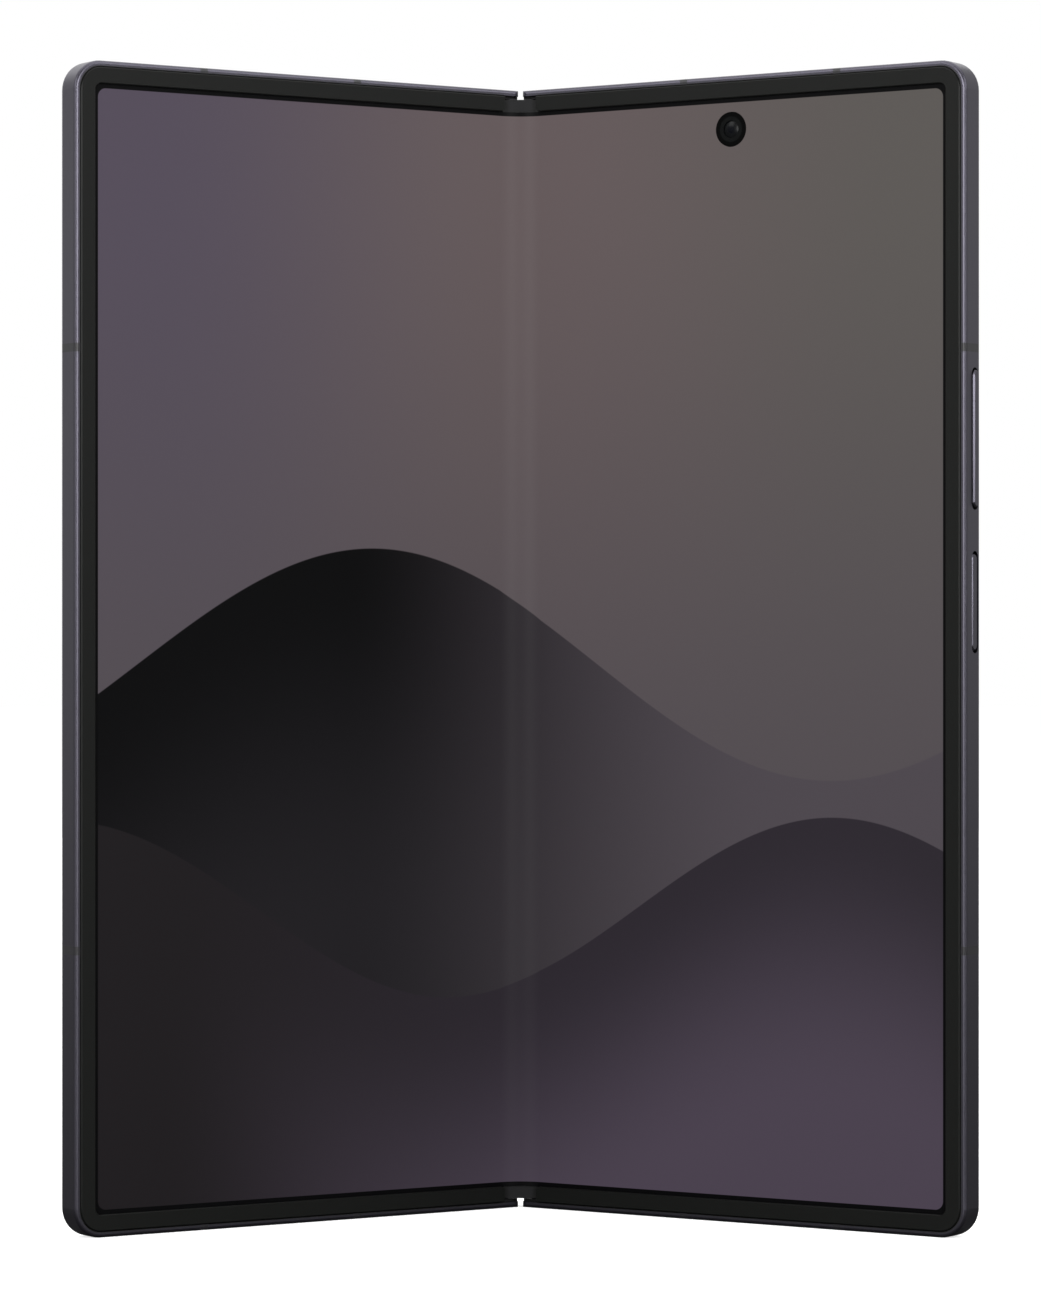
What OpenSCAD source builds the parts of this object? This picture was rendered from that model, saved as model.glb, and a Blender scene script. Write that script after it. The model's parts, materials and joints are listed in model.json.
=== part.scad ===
// A book-style folding phone, standing upright and partly open, inner screen facing -Y.
// Each half is drawn flat as the right half: X from the middle of the hinge outward,
// Y the depth from the front rim backward, Z the height from mid-height. Then it is folded.

/* [Body] */
// Height of the phone
phone_h = 158.4; // [154:0.2:166]
// Width of one half, from the middle of the hinge to the outer edge
half_w = 71.6; // [71:0.1:76]
// Thickness of one half
phone_t = 4.2; // [4.2:0.1:4.8]
// Radius of the outline's outer corners
corner_r = 4; // [3.8:0.1:6]
// Angle that each half is folded from flat
fold_deg = 33; // [25:1:40]

/* [Frame] */
// Width of the frame's front rim
rim_w = 0.8; // [0.7:0.05:0.85]
// Width of the frame's back rim
back_rim_w = 0.75; // [0.65:0.05:1]
// Thickness of the frame's wall
wall_w = 2.2; // [2:0.1:2.4]
// Thickness of the top and bottom walls beside the hinge
end_wall_w = 1.15; // [1:0.05:1.2]
// Rounding of the front edge
front_edge_r = 0.45; // [0.2:0.05:0.6]
// Rounding of the back edge
back_edge_r = 0.6; // [0.3:0.05:0.65]
// Depth of the seat that carries the bezel and the display
seat_y = 0.9; // [0.9:0.02:0.94]
// Thickness of the middle plate
mid_t = 0.4; // [0.3:0.05:0.45]
// Width of the rail that carries the hinge brackets
rail_w = 10.6; // [10.4:0.1:11.2]
// Width of the metal strip between the hinge edge and the back glass
strip_w = 4.6; // [4.4:0.1:5]
// Rounding of the wall ends at the hinge, seen from the front
wall_end_r = 0.5; // [0.2:0.05:0.6]

/* [Antenna bands] */
// Width of one antenna band
antenna_w = 1.15; // [0.8:0.05:1.5]
// Height of the side bands above and below the middle
antenna_z = 40.5; // [39.5:0.5:50]
// Distance of the inner top and bottom bands from the half's middle
antenna_middle = 8.4; // [8:0.1:8.8]
// Distance of the outer top and bottom bands from the outer edge
antenna_in = 19.85; // [19.6:0.05:20.3]

/* [Bezel] */
// Width of the raised bezel
bezel_w = 2.2; // [2:0.05:2.3]
// Gap between the rim and the bezel
bezel_gap = 0.1; // [0.05:0.05:0.2]
// Height of the bezel above the rim
bezel_up = 0.15; // [0.1:0.05:0.3]
// Distance of the bezel's ends from the middle of the hinge
bezel_end_x = 3.1; // [3:0.05:3.5]
// Chamfer along the bezel's edges
bezel_chamfer = 0.12; // [0.05:0.01:0.15]

/* [Inner display] */
// Depth of the display's surface under the rim
screen_y = 0.25; // [0.2:0.01:0.3]
// Thickness of the folding display
screen_t = 0.5; // [0.4:0.05:0.55]
// Distance from the outer edge to the display's edge
screen_inset = 2.6; // [2.55:0.05:2.8]
// Distance from the hinge line at which the display starts to bend
bend_x = 3.7; // [3.6:0.1:5]
// Gap between the bending strip and the caps at its ends
bend_gap = 0.05; // [0.05:0.05:0.2]
// Distance of the inner camera from the hinge line
inner_cam_x = 34.9; // [30:0.1:45]
// Distance of the inner camera from the top edge
inner_cam_down = 7.4; // [6.5:0.1:10]
// Radius of the inner camera's window
inner_cam_r = 2.4; // [2:0.1:2.6]

/* [Back] */
// Thickness of the cover glass and the back glass
glass_t = 0.6; // [0.5:0.05:0.65]
// Thickness of the cover display under its glass
cover_oled_t = 0.6; // [0.5:0.05:0.65]
// Gap around the glass
glass_gap = 0.05; // [0.02:0.01:0.1]

/* [Hinge] */
// Distance of each fold axis from the middle plane
pivot_x = 1.25; // [1.25:0.01:1.3]
// Depth of the fold axes under the rim
pivot_y = 1; // [0.98:0.01:1.02]
// Outer radius of the spine cover about each fold axis
cover_r = 2.45; // [2.4:0.01:2.46]
// Thickness of the spine cover
cover_t = 0.35; // [0.3:0.01:0.36]
// Clearance between the spine and the halves' end walls
spine_end_gap = 0.15; // [0.1:0.05:0.3]
// Half of the gap between the two halves' back edges when flat
edge_gap = 0.1; // [0.08:0.01:0.2]
// Height of one end cap of the hinge
cap_h = 1.8; // [1.6:0.1:2]
// Width of an end cap
cap_w = 5.2; // [5:0.1:5.3]

/* [Hinge gears] */
// Teeth of every gear
teeth = 10; // [10:2:10]
// Distance between neighbouring gear shafts
gear_pitch = 1.4; // [1.36:0.01:1.42]
// Depth of the gear shafts under the rim
shaft_y = 1.8; // [1.78:0.01:1.82]
// Radius of the gear shafts
shaft_r = 0.28; // [0.25:0.01:0.3]
// Radial clearance of a gear on its shaft
shaft_gap = 0.03; // [0.02:0.01:0.05]
// Pressure angle of the teeth
pressure_deg = 30; // [28:1:31]
// Width of the gears
gear_w = 2; // [1.5:0.1:2.1]

/* [Hinge arms] */
// Reach of a sync arm from the hinge line into the half
arm_reach = 9; // [8:0.1:10]
// Thickness of a sync arm
arm_t = 0.4; // [0.3:0.02:0.42]
// Width of a sync arm
arm_w = 5; // [4:0.1:5.1]
// Inner radius of the arc-shaped guide
guide_r0 = 0.75; // [0.74:0.01:0.78]
// Outer radius of the arc-shaped guide
guide_r1 = 1.15; // [1.1:0.01:1.16]
// Length of a guide along the hinge
guide_l = 3; // [2:0.1:3.1]

/* [Keys] */
// Length of the volume key
volume_l = 19; // [17:0.1:19.6]
// Distance of the volume key's middle below the upper side bands
volume_down = 12.2; // [12:0.1:12.5]
// Length of the side key
side_l = 13.6; // [12:0.1:14]
// Distance of the side key's middle below the volume key's
side_down = 22; // [21.8:0.1:22.3]
// Width of the keys
key_w = 1.6; // [1.4:0.05:1.6]
// Depth of the keys' middle under the rim
key_y = 2.6; // [2.5:0.05:2.65]
// How far the volume key stands out
volume_out = 0.3; // [0.1:0.05:0.5]
// Travel of the side key
side_travel = 0.25; // [0.15:0.01:0.28]

/* [SIM tray] */
// Distance of the tray's middle from the outer edge
sim_in = 11.6; // [11.2:0.1:12]
// Length of the tray's face
sim_face_l = 12.6; // [12.2:0.1:12.8]
// Width of the tray's face
sim_face_w = 1.7; // [1.5:0.05:1.7]
// Length of the tray
sim_l = 17; // [15:0.5:18]

/* [Rear cameras] */
// Distance of the camera island's middle from the outer edge
island_in = 14.3; // [13.5:0.1:15]
// Distance of the camera island's middle from the top edge
island_down = 31.5; // [29:0.5:34]
// Width of the camera island
island_w = 15.4; // [15:0.1:16]
// Distance from the outer lenses' middle to the island's ends
island_end = 7.8; // [7.6:0.1:8.4]
// Height of the camera island above the glass
island_up = 1.2; // [0.8:0.1:1.6]
// Spacing of the three lenses
lens_pitch = 15.2; // [14.2:0.1:15.2]
// Outer radius of a lens ring
lens_ring_r = 6.2; // [6:0.1:6.5]
// Height of a lens ring above the island
lens_ring_up = 1.2; // [0.8:0.1:1.6]

/* [Batteries and boards] */
// Distance of the inner parts from the hinge line
parts_x = 15.5; // [15.3:0.1:16]
// Distance from the outer edge to the batteries
battery_in = 6.1; // [5.9:0.1:7]
// Thickness of the right battery
right_battery_t = 2; // [1.6:0.1:2]
// Depth of the boards under the middle plate
board_y = 0.5; // [0.3:0.05:0.6]
// Thickness of the boards
board_t = 0.5; // [0.4:0.05:0.6]

/* [Hidden] */
$fn = 48;

// Reach past a face when cutting
past = 1;

// Body
top_z = phone_h / 2;
pocket_z = top_z - end_wall_w;
shelf_y = phone_t - glass_t;
mid_y = seat_y + mid_t;
front_y = pivot_y - (half_w - pivot_x) * sin(fold_deg) - pivot_y * cos(fold_deg);
back_y = pivot_y + (phone_t - pivot_y) * cos(fold_deg) + (pivot_x - edge_gap) * sin(fold_deg);
hinge_y = -(front_y + back_y) / 2;
hinge_z = top_z;
LEFT = -1;
RIGHT = 1;

// Antenna bands
antenna_x1 = half_w / 2 - antenna_middle;
antenna_x2 = half_w - antenna_in;

// Frame
rail_x = 3.9;
rail_x1 = rail_x + rail_w;
left_rail_y = shelf_y - cover_oled_t;
wall_end_gap = 0.1;
wall_end_x = pivot_x + wall_end_gap;
back_chamfer = 0.3;
end_corner_in = 0.25;
end_corner_x = edge_gap + end_corner_in + wall_end_r;
wall_end_front_r = 1;
mid_inset = 1.5;
mid_corner_r = corner_r - mid_inset;
edge_steps = 4;
corner_steps = 6;

// Bezel and inner display
bezel_out = rim_w + bezel_gap;
bezel_in = bezel_out + bezel_w;
bezel_clear = 0.05;
bezel_foot = screen_inset - bezel_clear;
bezel_under_y = screen_y - bezel_clear;
bezel_end_r = 0.6;
screen_z = top_z - screen_inset;
screen_corner_r = 1.4;
plate_y = screen_y + screen_t;
plate_inset = 0.3;
bend_end_x = pivot_x + (bend_x - pivot_x) * cos(fold_deg) + (screen_y - pivot_y) * sin(fold_deg);
bend_end_y = pivot_y - (bend_x - pivot_x) * sin(fold_deg) + (screen_y - pivot_y) * cos(fold_deg);
bend_r = bend_end_x / sin(fold_deg);
bend_centre_y = bend_end_y - bend_r * cos(fold_deg);

// Spine
spine_z = pocket_z - spine_end_gap;
cover_edge_down = 0.2;
cover_edge_y = pivot_y + cover_edge_down;
cover_wall_z = 0.8;
core_gap = 0.07;
core_r = cover_r - cover_t - core_gap;
cap_z0 = spine_z - cap_h;
cap_front_y = 0.1;
cap_dish_r = 14;
cap_dish_depth = 0.22;
cap_back_y = 1.2;
cap_stem_w = 2;
cap_stem_t = 0.6;
bend_z = cap_z0 - bend_gap;
stiffener_side = 0.05;
stiffener_t = 0.2;
stiffener_gap = 1;

// Small screws of the hinge
screw_r = 0.5;
screw_head_r = 0.9;
screw_head_t = 0.35;
screw_tap = 0.35;
screw_gap = 0.1;
screw_room = screw_head_r + screw_gap;

// Hinge modules: stations along the hinge, counted inward from a module's outer end
module_z = cap_z0 - 0.5;
station_gap = 0.1;
plate_w = 1;
gear_s = plate_w + station_gap;
web_s = gear_s + gear_w + station_gap;
web_w = 0.9;
web_half = 1.3;
arm_s = gear_s + gear_w + 2 * station_gap;
cam_s = arm_s + arm_w;
cam_h = 0.35;
cam_gap = 0.05;
cam_inset = 0.1;
follower_s = cam_s + cam_h + cam_gap;
follower_w = 1.2;
spring_s = follower_s + follower_w;
washer_count = 12;
washer_pitch = 0.3;
washer_t = 0.12;
stop_s = spring_s + washer_count * washer_pitch;
guide_s = stop_s + plate_w + 1;
guide_step = guide_l + 2 * screw_room;
module_l = guide_s + guide_step + guide_l + 2 * screw_room;
housing_base_y = 2.7;
housing_front_y = 0.95;
guide_top_y = 1.42;
guide_gap = 0.05;
guide_core_r = guide_r0 - guide_gap;
guide_groove_r = guide_r1 + guide_gap;
guide_start_deg = 8;
guide_end_deg = 180;
guide_plate_x = 2.02;
guide_plate_y0 = 0.92;
guide_plate_y1 = 1.35;

// Gears
arm_axis_x = gear_pitch * 1.5;
idler_axis_x = gear_pitch / 2;
gear_r = gear_pitch / 2;
gear_module = gear_pitch / teeth;
tip_r = gear_r + 0.82 * gear_module;
root_r = gear_r - 1.05 * gear_module;
base_r = gear_r * cos(pressure_deg);
backlash_deg = 0.8;
tooth_deg = 360 / teeth;
gear_bore_r = shaft_r + shaft_gap;
hub_r = 0.6;
lobes = 3;
lobe_deg = 50;

// Brackets
bracket_gap = 0.05;
bracket_x0 = rail_x + bracket_gap;
bracket_x1 = 13;
bracket_y0 = seat_y + 0.02;
bracket_y1 = 2.5;
slot_side = 0.1;
slot_y0 = shaft_y - arm_t / 2 - slot_side;
slot_x1 = arm_reach + 2 * slot_side;
bracket_screw_x = 11.2;
bracket_screws = [2, 12, 22];

// Flex cables through the hinge
cable_w = 12;
cable_z = 14;
cable_t = 0.12;
cable_y = 2.2;
cable_channel = 0.15;
cable_gap = 0.05;
connector_gap = 0.1;
connector_x = rail_x1 + connector_gap;
notch_y = 2.15;
notch_x = 2.5;

// Keys
volume_z = antenna_z - volume_down;
side_z = volume_z - side_down;
key_gap = 0.08;
flange_out = 0.8;
flange_u0 = 1.5;
flange_t = 0.5;
rocker_room = 0.25;
nub_r = 0.5;
nub_l = 0.6;
nub_spread = 6;
switch_gap = 0.05;
switch_u = flange_u0 + flange_t + nub_l + side_travel + switch_gap;
switch_base_u = 3.6;
switch_back_u = 4.2;
dome_r = 0.9;
dome_tip_r = 0.6;

// SIM tray and reader
sim_x = half_w - sim_in;
sim_y = 2.35;
sim_gap = 0.08;
sim_face_t = 1.1;
sim_body_w = 11;
sim_body_t = 0.9;
card_w = 8.9;
card_l = 12.4;
card_up = 1.4;
eject_r = 0.4;
eject_x = 4.7;
reader_w = 13.4;
reader_wall = 0.8;

// Holes in the edges
port_x = half_w / 2;
port_w = 8.9;
port_t = 2.56;
port_y = 2.25;
port_r = 1.2;
port_wall = 0.14;
port_l = 6.8;
port_tail_l = 3;
port_gap = 0.04;
tongue_w = 6.7;
tongue_t = 0.7;
tongue_l = 4.6;
speaker_holes = 5;
speaker_in = 17.8;
speaker_x = half_w - speaker_in;
speaker_pitch = 2;
speaker_r = 0.5;
mic_x = 22;
mic_r = 0.35;
hole_y = 2.25;

// Rear cameras
island_x = half_w - island_in;
island_z = top_z - island_down;
island_l = 2 * (lens_pitch + island_end);
island_lap = 0.6;
lens_hole_r = 5;
lens_glass_t = 0.4;
lens_glass_r = lens_ring_r - 0.9;
module_w = 11.4;
module_in = 0.5;
module_back_y = phone_t + module_in;
neck_gap = 0.1;
barrel_r = 4.6;
flash_r = 1.9;
flash_gap = 3.2;
flash_x = island_x - island_w / 2 - flash_gap;
flash_z = island_z + lens_pitch / 2;

// Inner camera
inner_cam_w = 6.4;
inner_cam_t = 2;
inner_cam_gap = 0.05;

// Batteries, boards and small parts
battery_x1 = half_w - battery_in;
right_battery_up = 20;
right_battery_z0 = -top_z + right_battery_up;
right_battery_z1 = 18;
left_battery_up = 7;
left_battery_z0 = -top_z + left_battery_up;
left_battery_z1 = 38;
battery_r = 2;
battery_tab_l = 3;
coil_r = 17;
coil_hole_r = 9;
coil_t = 0.2;
coil_z = -22;
main_board_z0 = 22;
main_board_down = 4;
main_board_z1 = top_z - main_board_down;
main_board_gap = 3.1;
main_board_x1 = island_x - module_w / 2 - main_board_gap;
motor_in = 28.6;
motor_x = half_w - motor_in;
motor_z = 50;
motor_r = 5;
left_board_z0 = 42;
left_board_down = 13;
left_board_z1 = top_z - left_board_down;
left_board_gap = 4;
left_board_x1 = motor_x - motor_r - left_board_gap;
board_r = 1;
post_r = 1.3;
board_screw_r = 0.5;
board_head_r = 1;
board_back_y = mid_y + board_y + board_t;
board_screw_in = 2;
shield_t = 0.6;
shield_wall = 1.6;
shield_down = 9.4;
shield_z1 = top_z - inner_cam_down - inner_cam_w - shield_down;
shield_middle_x = (parts_x + main_board_x1) / 2;
magnet_w = 2;
magnet_l = 18;
magnet_z = -38;
magnet_in = 5;
cover_cam_x = half_w / 2;
cover_cam_down = 7.6;
cover_cam_w = 6;
cover_cam_r = 1.9;
earpiece_in = 2.5;
earpiece_gap = 0.8;
earpiece_x0 = parts_x + earpiece_in;
earpiece_x1 = cover_cam_x - cover_cam_w / 2 - earpiece_gap;
earpiece_l = 8;
earpiece_down = 3;
earpiece_z1 = top_z - earpiece_down;
earpiece_z0 = earpiece_z1 - earpiece_l;
loudspeaker_in = 5.1;
loudspeaker_w = 19.5;
loudspeaker_l = 18;
loudspeaker_x1 = half_w - loudspeaker_in;
loudspeaker_x0 = loudspeaker_x1 - loudspeaker_w;
loudspeaker_z1 = -top_z + loudspeaker_l;
bottom_board_x0 = 17;
board_clear = 1;
bottom_board_gap = 1.5;
bottom_board_x1 = loudspeaker_x0 - bottom_board_gap;

function arc(x, y, r, a0, a1, n) =
    [for (i = [0:n]) let (a = a0 + (a1 - a0) * i / n) [x + r * cos(a), y + r * sin(a)]];

function rounded(x0, y0, x1, y1, r) = concat(
    arc(x1 - r, y1 - r, r, 0, 90, corner_steps),
    arc(x0 + r, y1 - r, r, 90, 180, corner_steps),
    arc(x0 + r, y0 + r, r, 180, 270, corner_steps),
    arc(x1 - r, y0 + r, r, 270, 360, corner_steps)
);

function pill(l, w) = concat(
    arc((l - w) / 2, 0, w / 2, -90, 90, 2 * corner_steps),
    arc((w - l) / 2, 0, w / 2, 90, 270, 2 * corner_steps)
);

// Wedge of the spine's inside: an arc about each fold axis, closed by a flat front
function spine_section(r, a0) = concat(
    arc(pivot_x, pivot_y, r, a0, 90, 2 * corner_steps),
    arc(-pivot_x, pivot_y, r, 90, 180 - a0, 2 * corner_steps)
);

module block(a, b)
    translate(a)
        cube(b - a);

// Extrudes an outline drawn in X and Z, from depth y0 to depth y1
module deep(y0, y1)
    translate([0, y1, 0])
        rotate([90, 0, 0])
            linear_extrude(y1 - y0)
                children();

// A round bar along the depth
module post(x, z, r, y0, y1)
    translate([x, y1, z])
        rotate([90, 0, 0])
            cylinder(r = r, h = y1 - y0);

// A long rounded bar along X, its length along Z
module side_pill(u1, u0, z, l, w)
    translate([half_w - u1, key_y, z])
        rotate([0, 90, 0])
            linear_extrude(u1 - u0)
                polygon(pill(l, w));

module both_sides() {
    children();
    mirror([1, 0, 0])
        children();
}

module both_ends() {
    children();
    mirror([0, 0, 1])
        children();
}

module place_spine()
    translate([0, hinge_y, hinge_z])
        children();

// Folds a half that is drawn flat on the right, and sets it on its side
module place_half(side)
    place_spine()
        mirror([side == LEFT ? 1 : 0, 0, 0])
            translate([pivot_x, pivot_y, 0])
                rotate([0, 0, -fold_deg])
                    translate([-pivot_x, -pivot_y, 0])
                        children();

// From here: the hinge

module station(s)
    translate([0, 0, module_z - s])
        children();

// A slice of a hinge module, from station s, w wide
module slice(s, w)
    station(s + w)
        linear_extrude(w)
            children();

module hinge_cover()
    color("#4a4950")
        place_spine()
            difference() {
                union() {
                    both_sides()
                        translate([pivot_x, pivot_y, -spine_z])
                            rotate_extrude(angle = 90)
                                translate([cover_r - cover_t, 0])
                                    square([cover_t, 2 * spine_z]);
                    block([-pivot_x, pivot_y + cover_r - cover_t, -spine_z],
                        [pivot_x, pivot_y + cover_r, spine_z]);
                    both_ends()
                        translate([0, 0, spine_z - cover_wall_z])
                            linear_extrude(cover_wall_z)
                                polygon(spine_section(cover_r - cover_t / 2, 0));
                }
                block([-half_w, 0, -top_z], [half_w, cover_edge_y, top_z]);
                both_sides()
                    both_ends() {
                        block([notch_x, 0, module_z - module_l], [half_w, notch_y, module_z]);
                        block([notch_x, 0, cable_z - cable_w / 2 - station_gap],
                            [half_w, notch_y, cable_z + cable_w / 2 + station_gap]);
                    }
            }

module hinge_end_caps()
    color("#2b2b2e")
        place_spine()
            both_ends()
                translate([0, 0, cap_z0])
                    difference() {
                        union() {
                            block([-cap_w / 2, cap_front_y, 0], [cap_w / 2, cap_back_y, cap_h]);
                            block([-cap_stem_w / 2, cap_back_y, 0], [cap_stem_w / 2,
                                pivot_y + cover_r - cover_t, cap_stem_t]);
                        }
                        translate([0, cap_front_y + cap_dish_depth - cap_dish_r, -past])
                            cylinder(r = cap_dish_r, h = cap_h + 2 * past, $fn = 96);
                    }

module housing_plate(s, w)
    slice(s, w)
        polygon(spine_section(core_r, 0));

// A ring-shaped groove about the fold axis of one side, with its core left standing
module guide_groove(side, s)
    translate([side * pivot_x, pivot_y, module_z - s - guide_l - station_gap])
        rotate_extrude()
            translate([guide_core_r, 0])
                square([guide_groove_r - guide_core_r, guide_l + 2 * station_gap]);

module hinge_housings()
    color("#8d8f94")
        place_spine()
            both_ends()
                difference() {
                    union() {
                        slice(0, module_l)
                            polygon(spine_section(core_r, asin((housing_base_y - pivot_y) / core_r)));
                        housing_plate(0, plate_w);
                        housing_plate(stop_s, plate_w);
                        slice(web_s, web_w)
                            translate([-web_half, housing_front_y])
                                square([2 * web_half, housing_base_y + station_gap - housing_front_y]);
                        slice(stop_s, module_l - stop_s)
                            polygon(spine_section(core_r, asin((guide_top_y - pivot_y) / core_r)));
                        slice(stop_s, module_l - stop_s)
                            translate([-pivot_x - guide_core_r, housing_front_y])
                                square([2 * (pivot_x + guide_core_r), guide_top_y]);
                    }
                    guide_groove(RIGHT, guide_s);
                    guide_groove(LEFT, guide_s + guide_step);
                    both_sides() {
                        slice(-past, stop_s + plate_w + past)
                            translate([arm_axis_x, shaft_y])
                                circle(shaft_r);
                        slice(-past, web_s + web_w + past)
                            translate([idler_axis_x, shaft_y])
                                circle(shaft_r);
                    }
                    housing_screw_sites()
                        post(0, 0, screw_r, 0, phone_t);
                    housing_screw_sites()
                        post(0, 0, screw_head_r, 0, housing_front_y + screw_head_t);
                }

module housing_screw_sites()
    for (s = [stop_s + plate_w / 2, guide_s + guide_step - screw_room, module_l - screw_room])
        station(s)
            children();

module housing_screws()
    color("#b9bbc0")
        place_spine()
            both_ends()
                housing_screw_sites()
                    union() {
                        post(0, 0, screw_head_r - bracket_gap, housing_front_y,
                            housing_front_y + screw_head_t);
                        post(0, 0, screw_r, housing_front_y, pivot_y + cover_r - cover_t);
                    }

module gear_shafts()
    color("#c9cbd0")
        place_spine()
            both_ends()
                both_sides() {
                    slice(0, stop_s + plate_w)
                        translate([arm_axis_x, shaft_y])
                            circle(shaft_r);
                    slice(0, web_s + web_w)
                        translate([idler_axis_x, shaft_y])
                            circle(shaft_r);
                }

// Cupped washers in pairs, one facing each way
module torque_springs()
    color("#9a9ca2")
        place_spine()
            both_ends()
                both_sides()
                    translate([arm_axis_x, shaft_y, module_z - stop_s])
                        for (i = [0:2:washer_count - 2])
                            translate([0, 0, i * washer_pitch])
                                rotate_extrude()
                                    polygon([
                                        [gear_bore_r, 0],
                                        [gear_bore_r + washer_t, 0],
                                        [hub_r, washer_pitch - washer_t / 2],
                                        [hub_r, washer_pitch + washer_t / 2],
                                        [gear_bore_r + washer_t, 2 * washer_pitch],
                                        [gear_bore_r, 2 * washer_pitch],
                                        [gear_bore_r, 2 * washer_pitch - washer_t],
                                        [hub_r - washer_t, washer_pitch],
                                        [gear_bore_r, washer_t]
                                    ]);

module cam_followers()
    color("#a4a6ab")
        place_spine()
            both_ends()
                slice(follower_s, follower_w)
                    difference() {
                        intersection() {
                            translate([-arm_axis_x - hub_r, shaft_y - hub_r])
                                square([2 * (arm_axis_x + hub_r), housing_base_y - shaft_y + hub_r]);
                            polygon(spine_section(core_r, 0));
                        }
                        both_sides()
                            translate([arm_axis_x, shaft_y])
                                circle(gear_bore_r);
                    }

module cover_stiffener()
    color("#7c7d83")
        place_spine()
            block([stiffener_side - pivot_x, pivot_y + cover_r - cover_t - stiffener_t,
                    module_l + stiffener_gap - module_z],
                [pivot_x - stiffener_side, pivot_y + cover_r - cover_t,
                    module_z - module_l - stiffener_gap]);

// A layer of the bend: an arc that meets both halves' planes smoothly
module bend_layer(r, t, z0, z1)
    translate([0, bend_centre_y, z0])
        rotate([0, 0, 90 - fold_deg])
            rotate_extrude(angle = 2 * fold_deg, $fn = 180)
                translate([r, 0])
                    square([t, z1 - z0]);

module display_bend()
    color("#4d4850")
        place_spine()
            bend_layer(bend_r, screen_t, -bend_z, bend_z);

module hinge_flex_cables()
    color("#b5742c")
        place_spine()
            both_ends()
                bend_layer(bend_r + cable_y, cable_t, cable_z - cable_w / 2, cable_z + cable_w / 2);

// The ribbons that carry on from the flex cables inside a half, and their connectors
module flex_connector_pair()
    both_ends() {
        block([rail_x + cable_gap, screen_y + cable_y, cable_z - cable_w / 2],
            [connector_x, screen_y + cable_y + cable_t, cable_z + cable_w / 2]);
        block([connector_x, mid_y, cable_z - cable_w / 2],
            [parts_x - cable_gap, screen_y + cable_y + cable_t, cable_z + cable_w / 2]);
    }

module left_flex_connectors()
    color("#b5742c")
        place_half(LEFT)
            flex_connector_pair();

module right_flex_connectors()
    color("#b5742c")
        place_half(RIGHT)
            flex_connector_pair();

// Gears: involute flanks, drawn with three points on each

function involute_deg(a) = tan(a) * 180 / PI - a;

function flank_deg(r) =
    tooth_deg / 4 - backlash_deg + involute_deg(pressure_deg) - involute_deg(acos(base_r / r));

function tooth(a) = [
    for (f = [[root_r, -1, base_r], [base_r, -1, base_r], [gear_r, -1, gear_r], [tip_r, -1, tip_r],
            [tip_r, 1, tip_r], [gear_r, 1, gear_r], [base_r, 1, base_r], [root_r, 1, base_r]])
        let (b = a + f[1] * flank_deg(f[2])) [f[0] * cos(b), f[0] * sin(b)]
];

module gear_outline(turn)
    difference() {
        polygon([for (i = [0:teeth - 1]) each tooth(turn + i * tooth_deg)]);
        circle(gear_bore_r);
    }

// A sync arm drawn flat on the right, its shaft on the Z axis of its own place
module sync_arm(phase)
    both_ends()
        translate([arm_axis_x, shaft_y, 0]) {
            slice(gear_s, gear_w)
                gear_outline(phase);
            slice(gear_s + gear_w, arm_s - gear_s - gear_w + arm_w)
                difference() {
                    circle(hub_r);
                    circle(gear_bore_r);
                }
            slice(arm_s, arm_w)
                difference() {
                    translate([0, -arm_t / 2])
                        square([arm_reach - arm_axis_x, arm_t]);
                    circle(hub_r - cam_inset);
                }
            station(cam_s + cam_h)
                for (i = [0:lobes - 1])
                    rotate([0, 0, i * 360 / lobes])
                        rotate_extrude(angle = lobe_deg)
                            translate([gear_bore_r, 0])
                                square([hub_r - gear_bore_r, cam_h]);
        }

// Turns an arm about its shaft as far as its half is folded
module place_arm(side)
    place_spine()
        mirror([side == LEFT ? 1 : 0, 0, 0])
            translate([arm_axis_x, shaft_y, 0])
                rotate([0, 0, -fold_deg])
                    translate([-arm_axis_x, -shaft_y, 0])
                        children();

module left_sync_arms()
    color("#7f8187")
        place_arm(LEFT)
            sync_arm(0);

module right_sync_arms()
    color("#7f8187")
        place_arm(RIGHT)
            sync_arm(tooth_deg / 2);

module idler_gears(side, turn)
    place_spine()
        both_ends()
            slice(gear_s, gear_w)
                translate([side * idler_axis_x, shaft_y])
                    gear_outline(turn);

module left_idler_gears()
    color("#96989e")
        idler_gears(LEFT, tooth_deg / 2 - fold_deg);

module right_idler_gears()
    color("#96989e")
        idler_gears(RIGHT, fold_deg);

module bracket_sites()
    for (s = bracket_screws)
        translate([bracket_screw_x, 0, module_z - s])
            children();

// A hinge bracket: block with the arm's slot, and the arc guide on its plate
module hinge_bracket(s)
    both_ends() {
        difference() {
            union() {
                block([bracket_x0, bracket_y0, module_z - module_l],
                    [bracket_x1, bracket_y1, module_z]);
                block([guide_plate_x, guide_plate_y0, module_z - s - guide_l],
                    [bracket_x0 + past, guide_plate_y1, module_z - s]);
                translate([pivot_x, pivot_y, module_z - s - guide_l])
                    rotate([0, 0, guide_start_deg])
                        rotate_extrude(angle = guide_end_deg - guide_start_deg)
                            translate([guide_r0, 0])
                                square([guide_r1 - guide_r0, guide_l]);
            }
            block([bracket_x0 - past, slot_y0, module_z - arm_s - arm_w - slot_side],
                [slot_x1, bracket_y1 + past, module_z - arm_s + slot_side]);
            bracket_sites() {
                post(0, 0, screw_r, 0, bracket_y1 + past);
                post(0, 0, screw_head_r, 0, bracket_y0 + screw_head_t);
            }
        }
    }

module bracket_screw_set()
    both_ends()
        bracket_sites() {
            post(0, 0, screw_head_r - bracket_gap, bracket_y0, bracket_y0 + screw_head_t);
            post(0, 0, screw_r, bracket_y0 + screw_head_t, bracket_y1 + screw_tap);
        }

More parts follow.
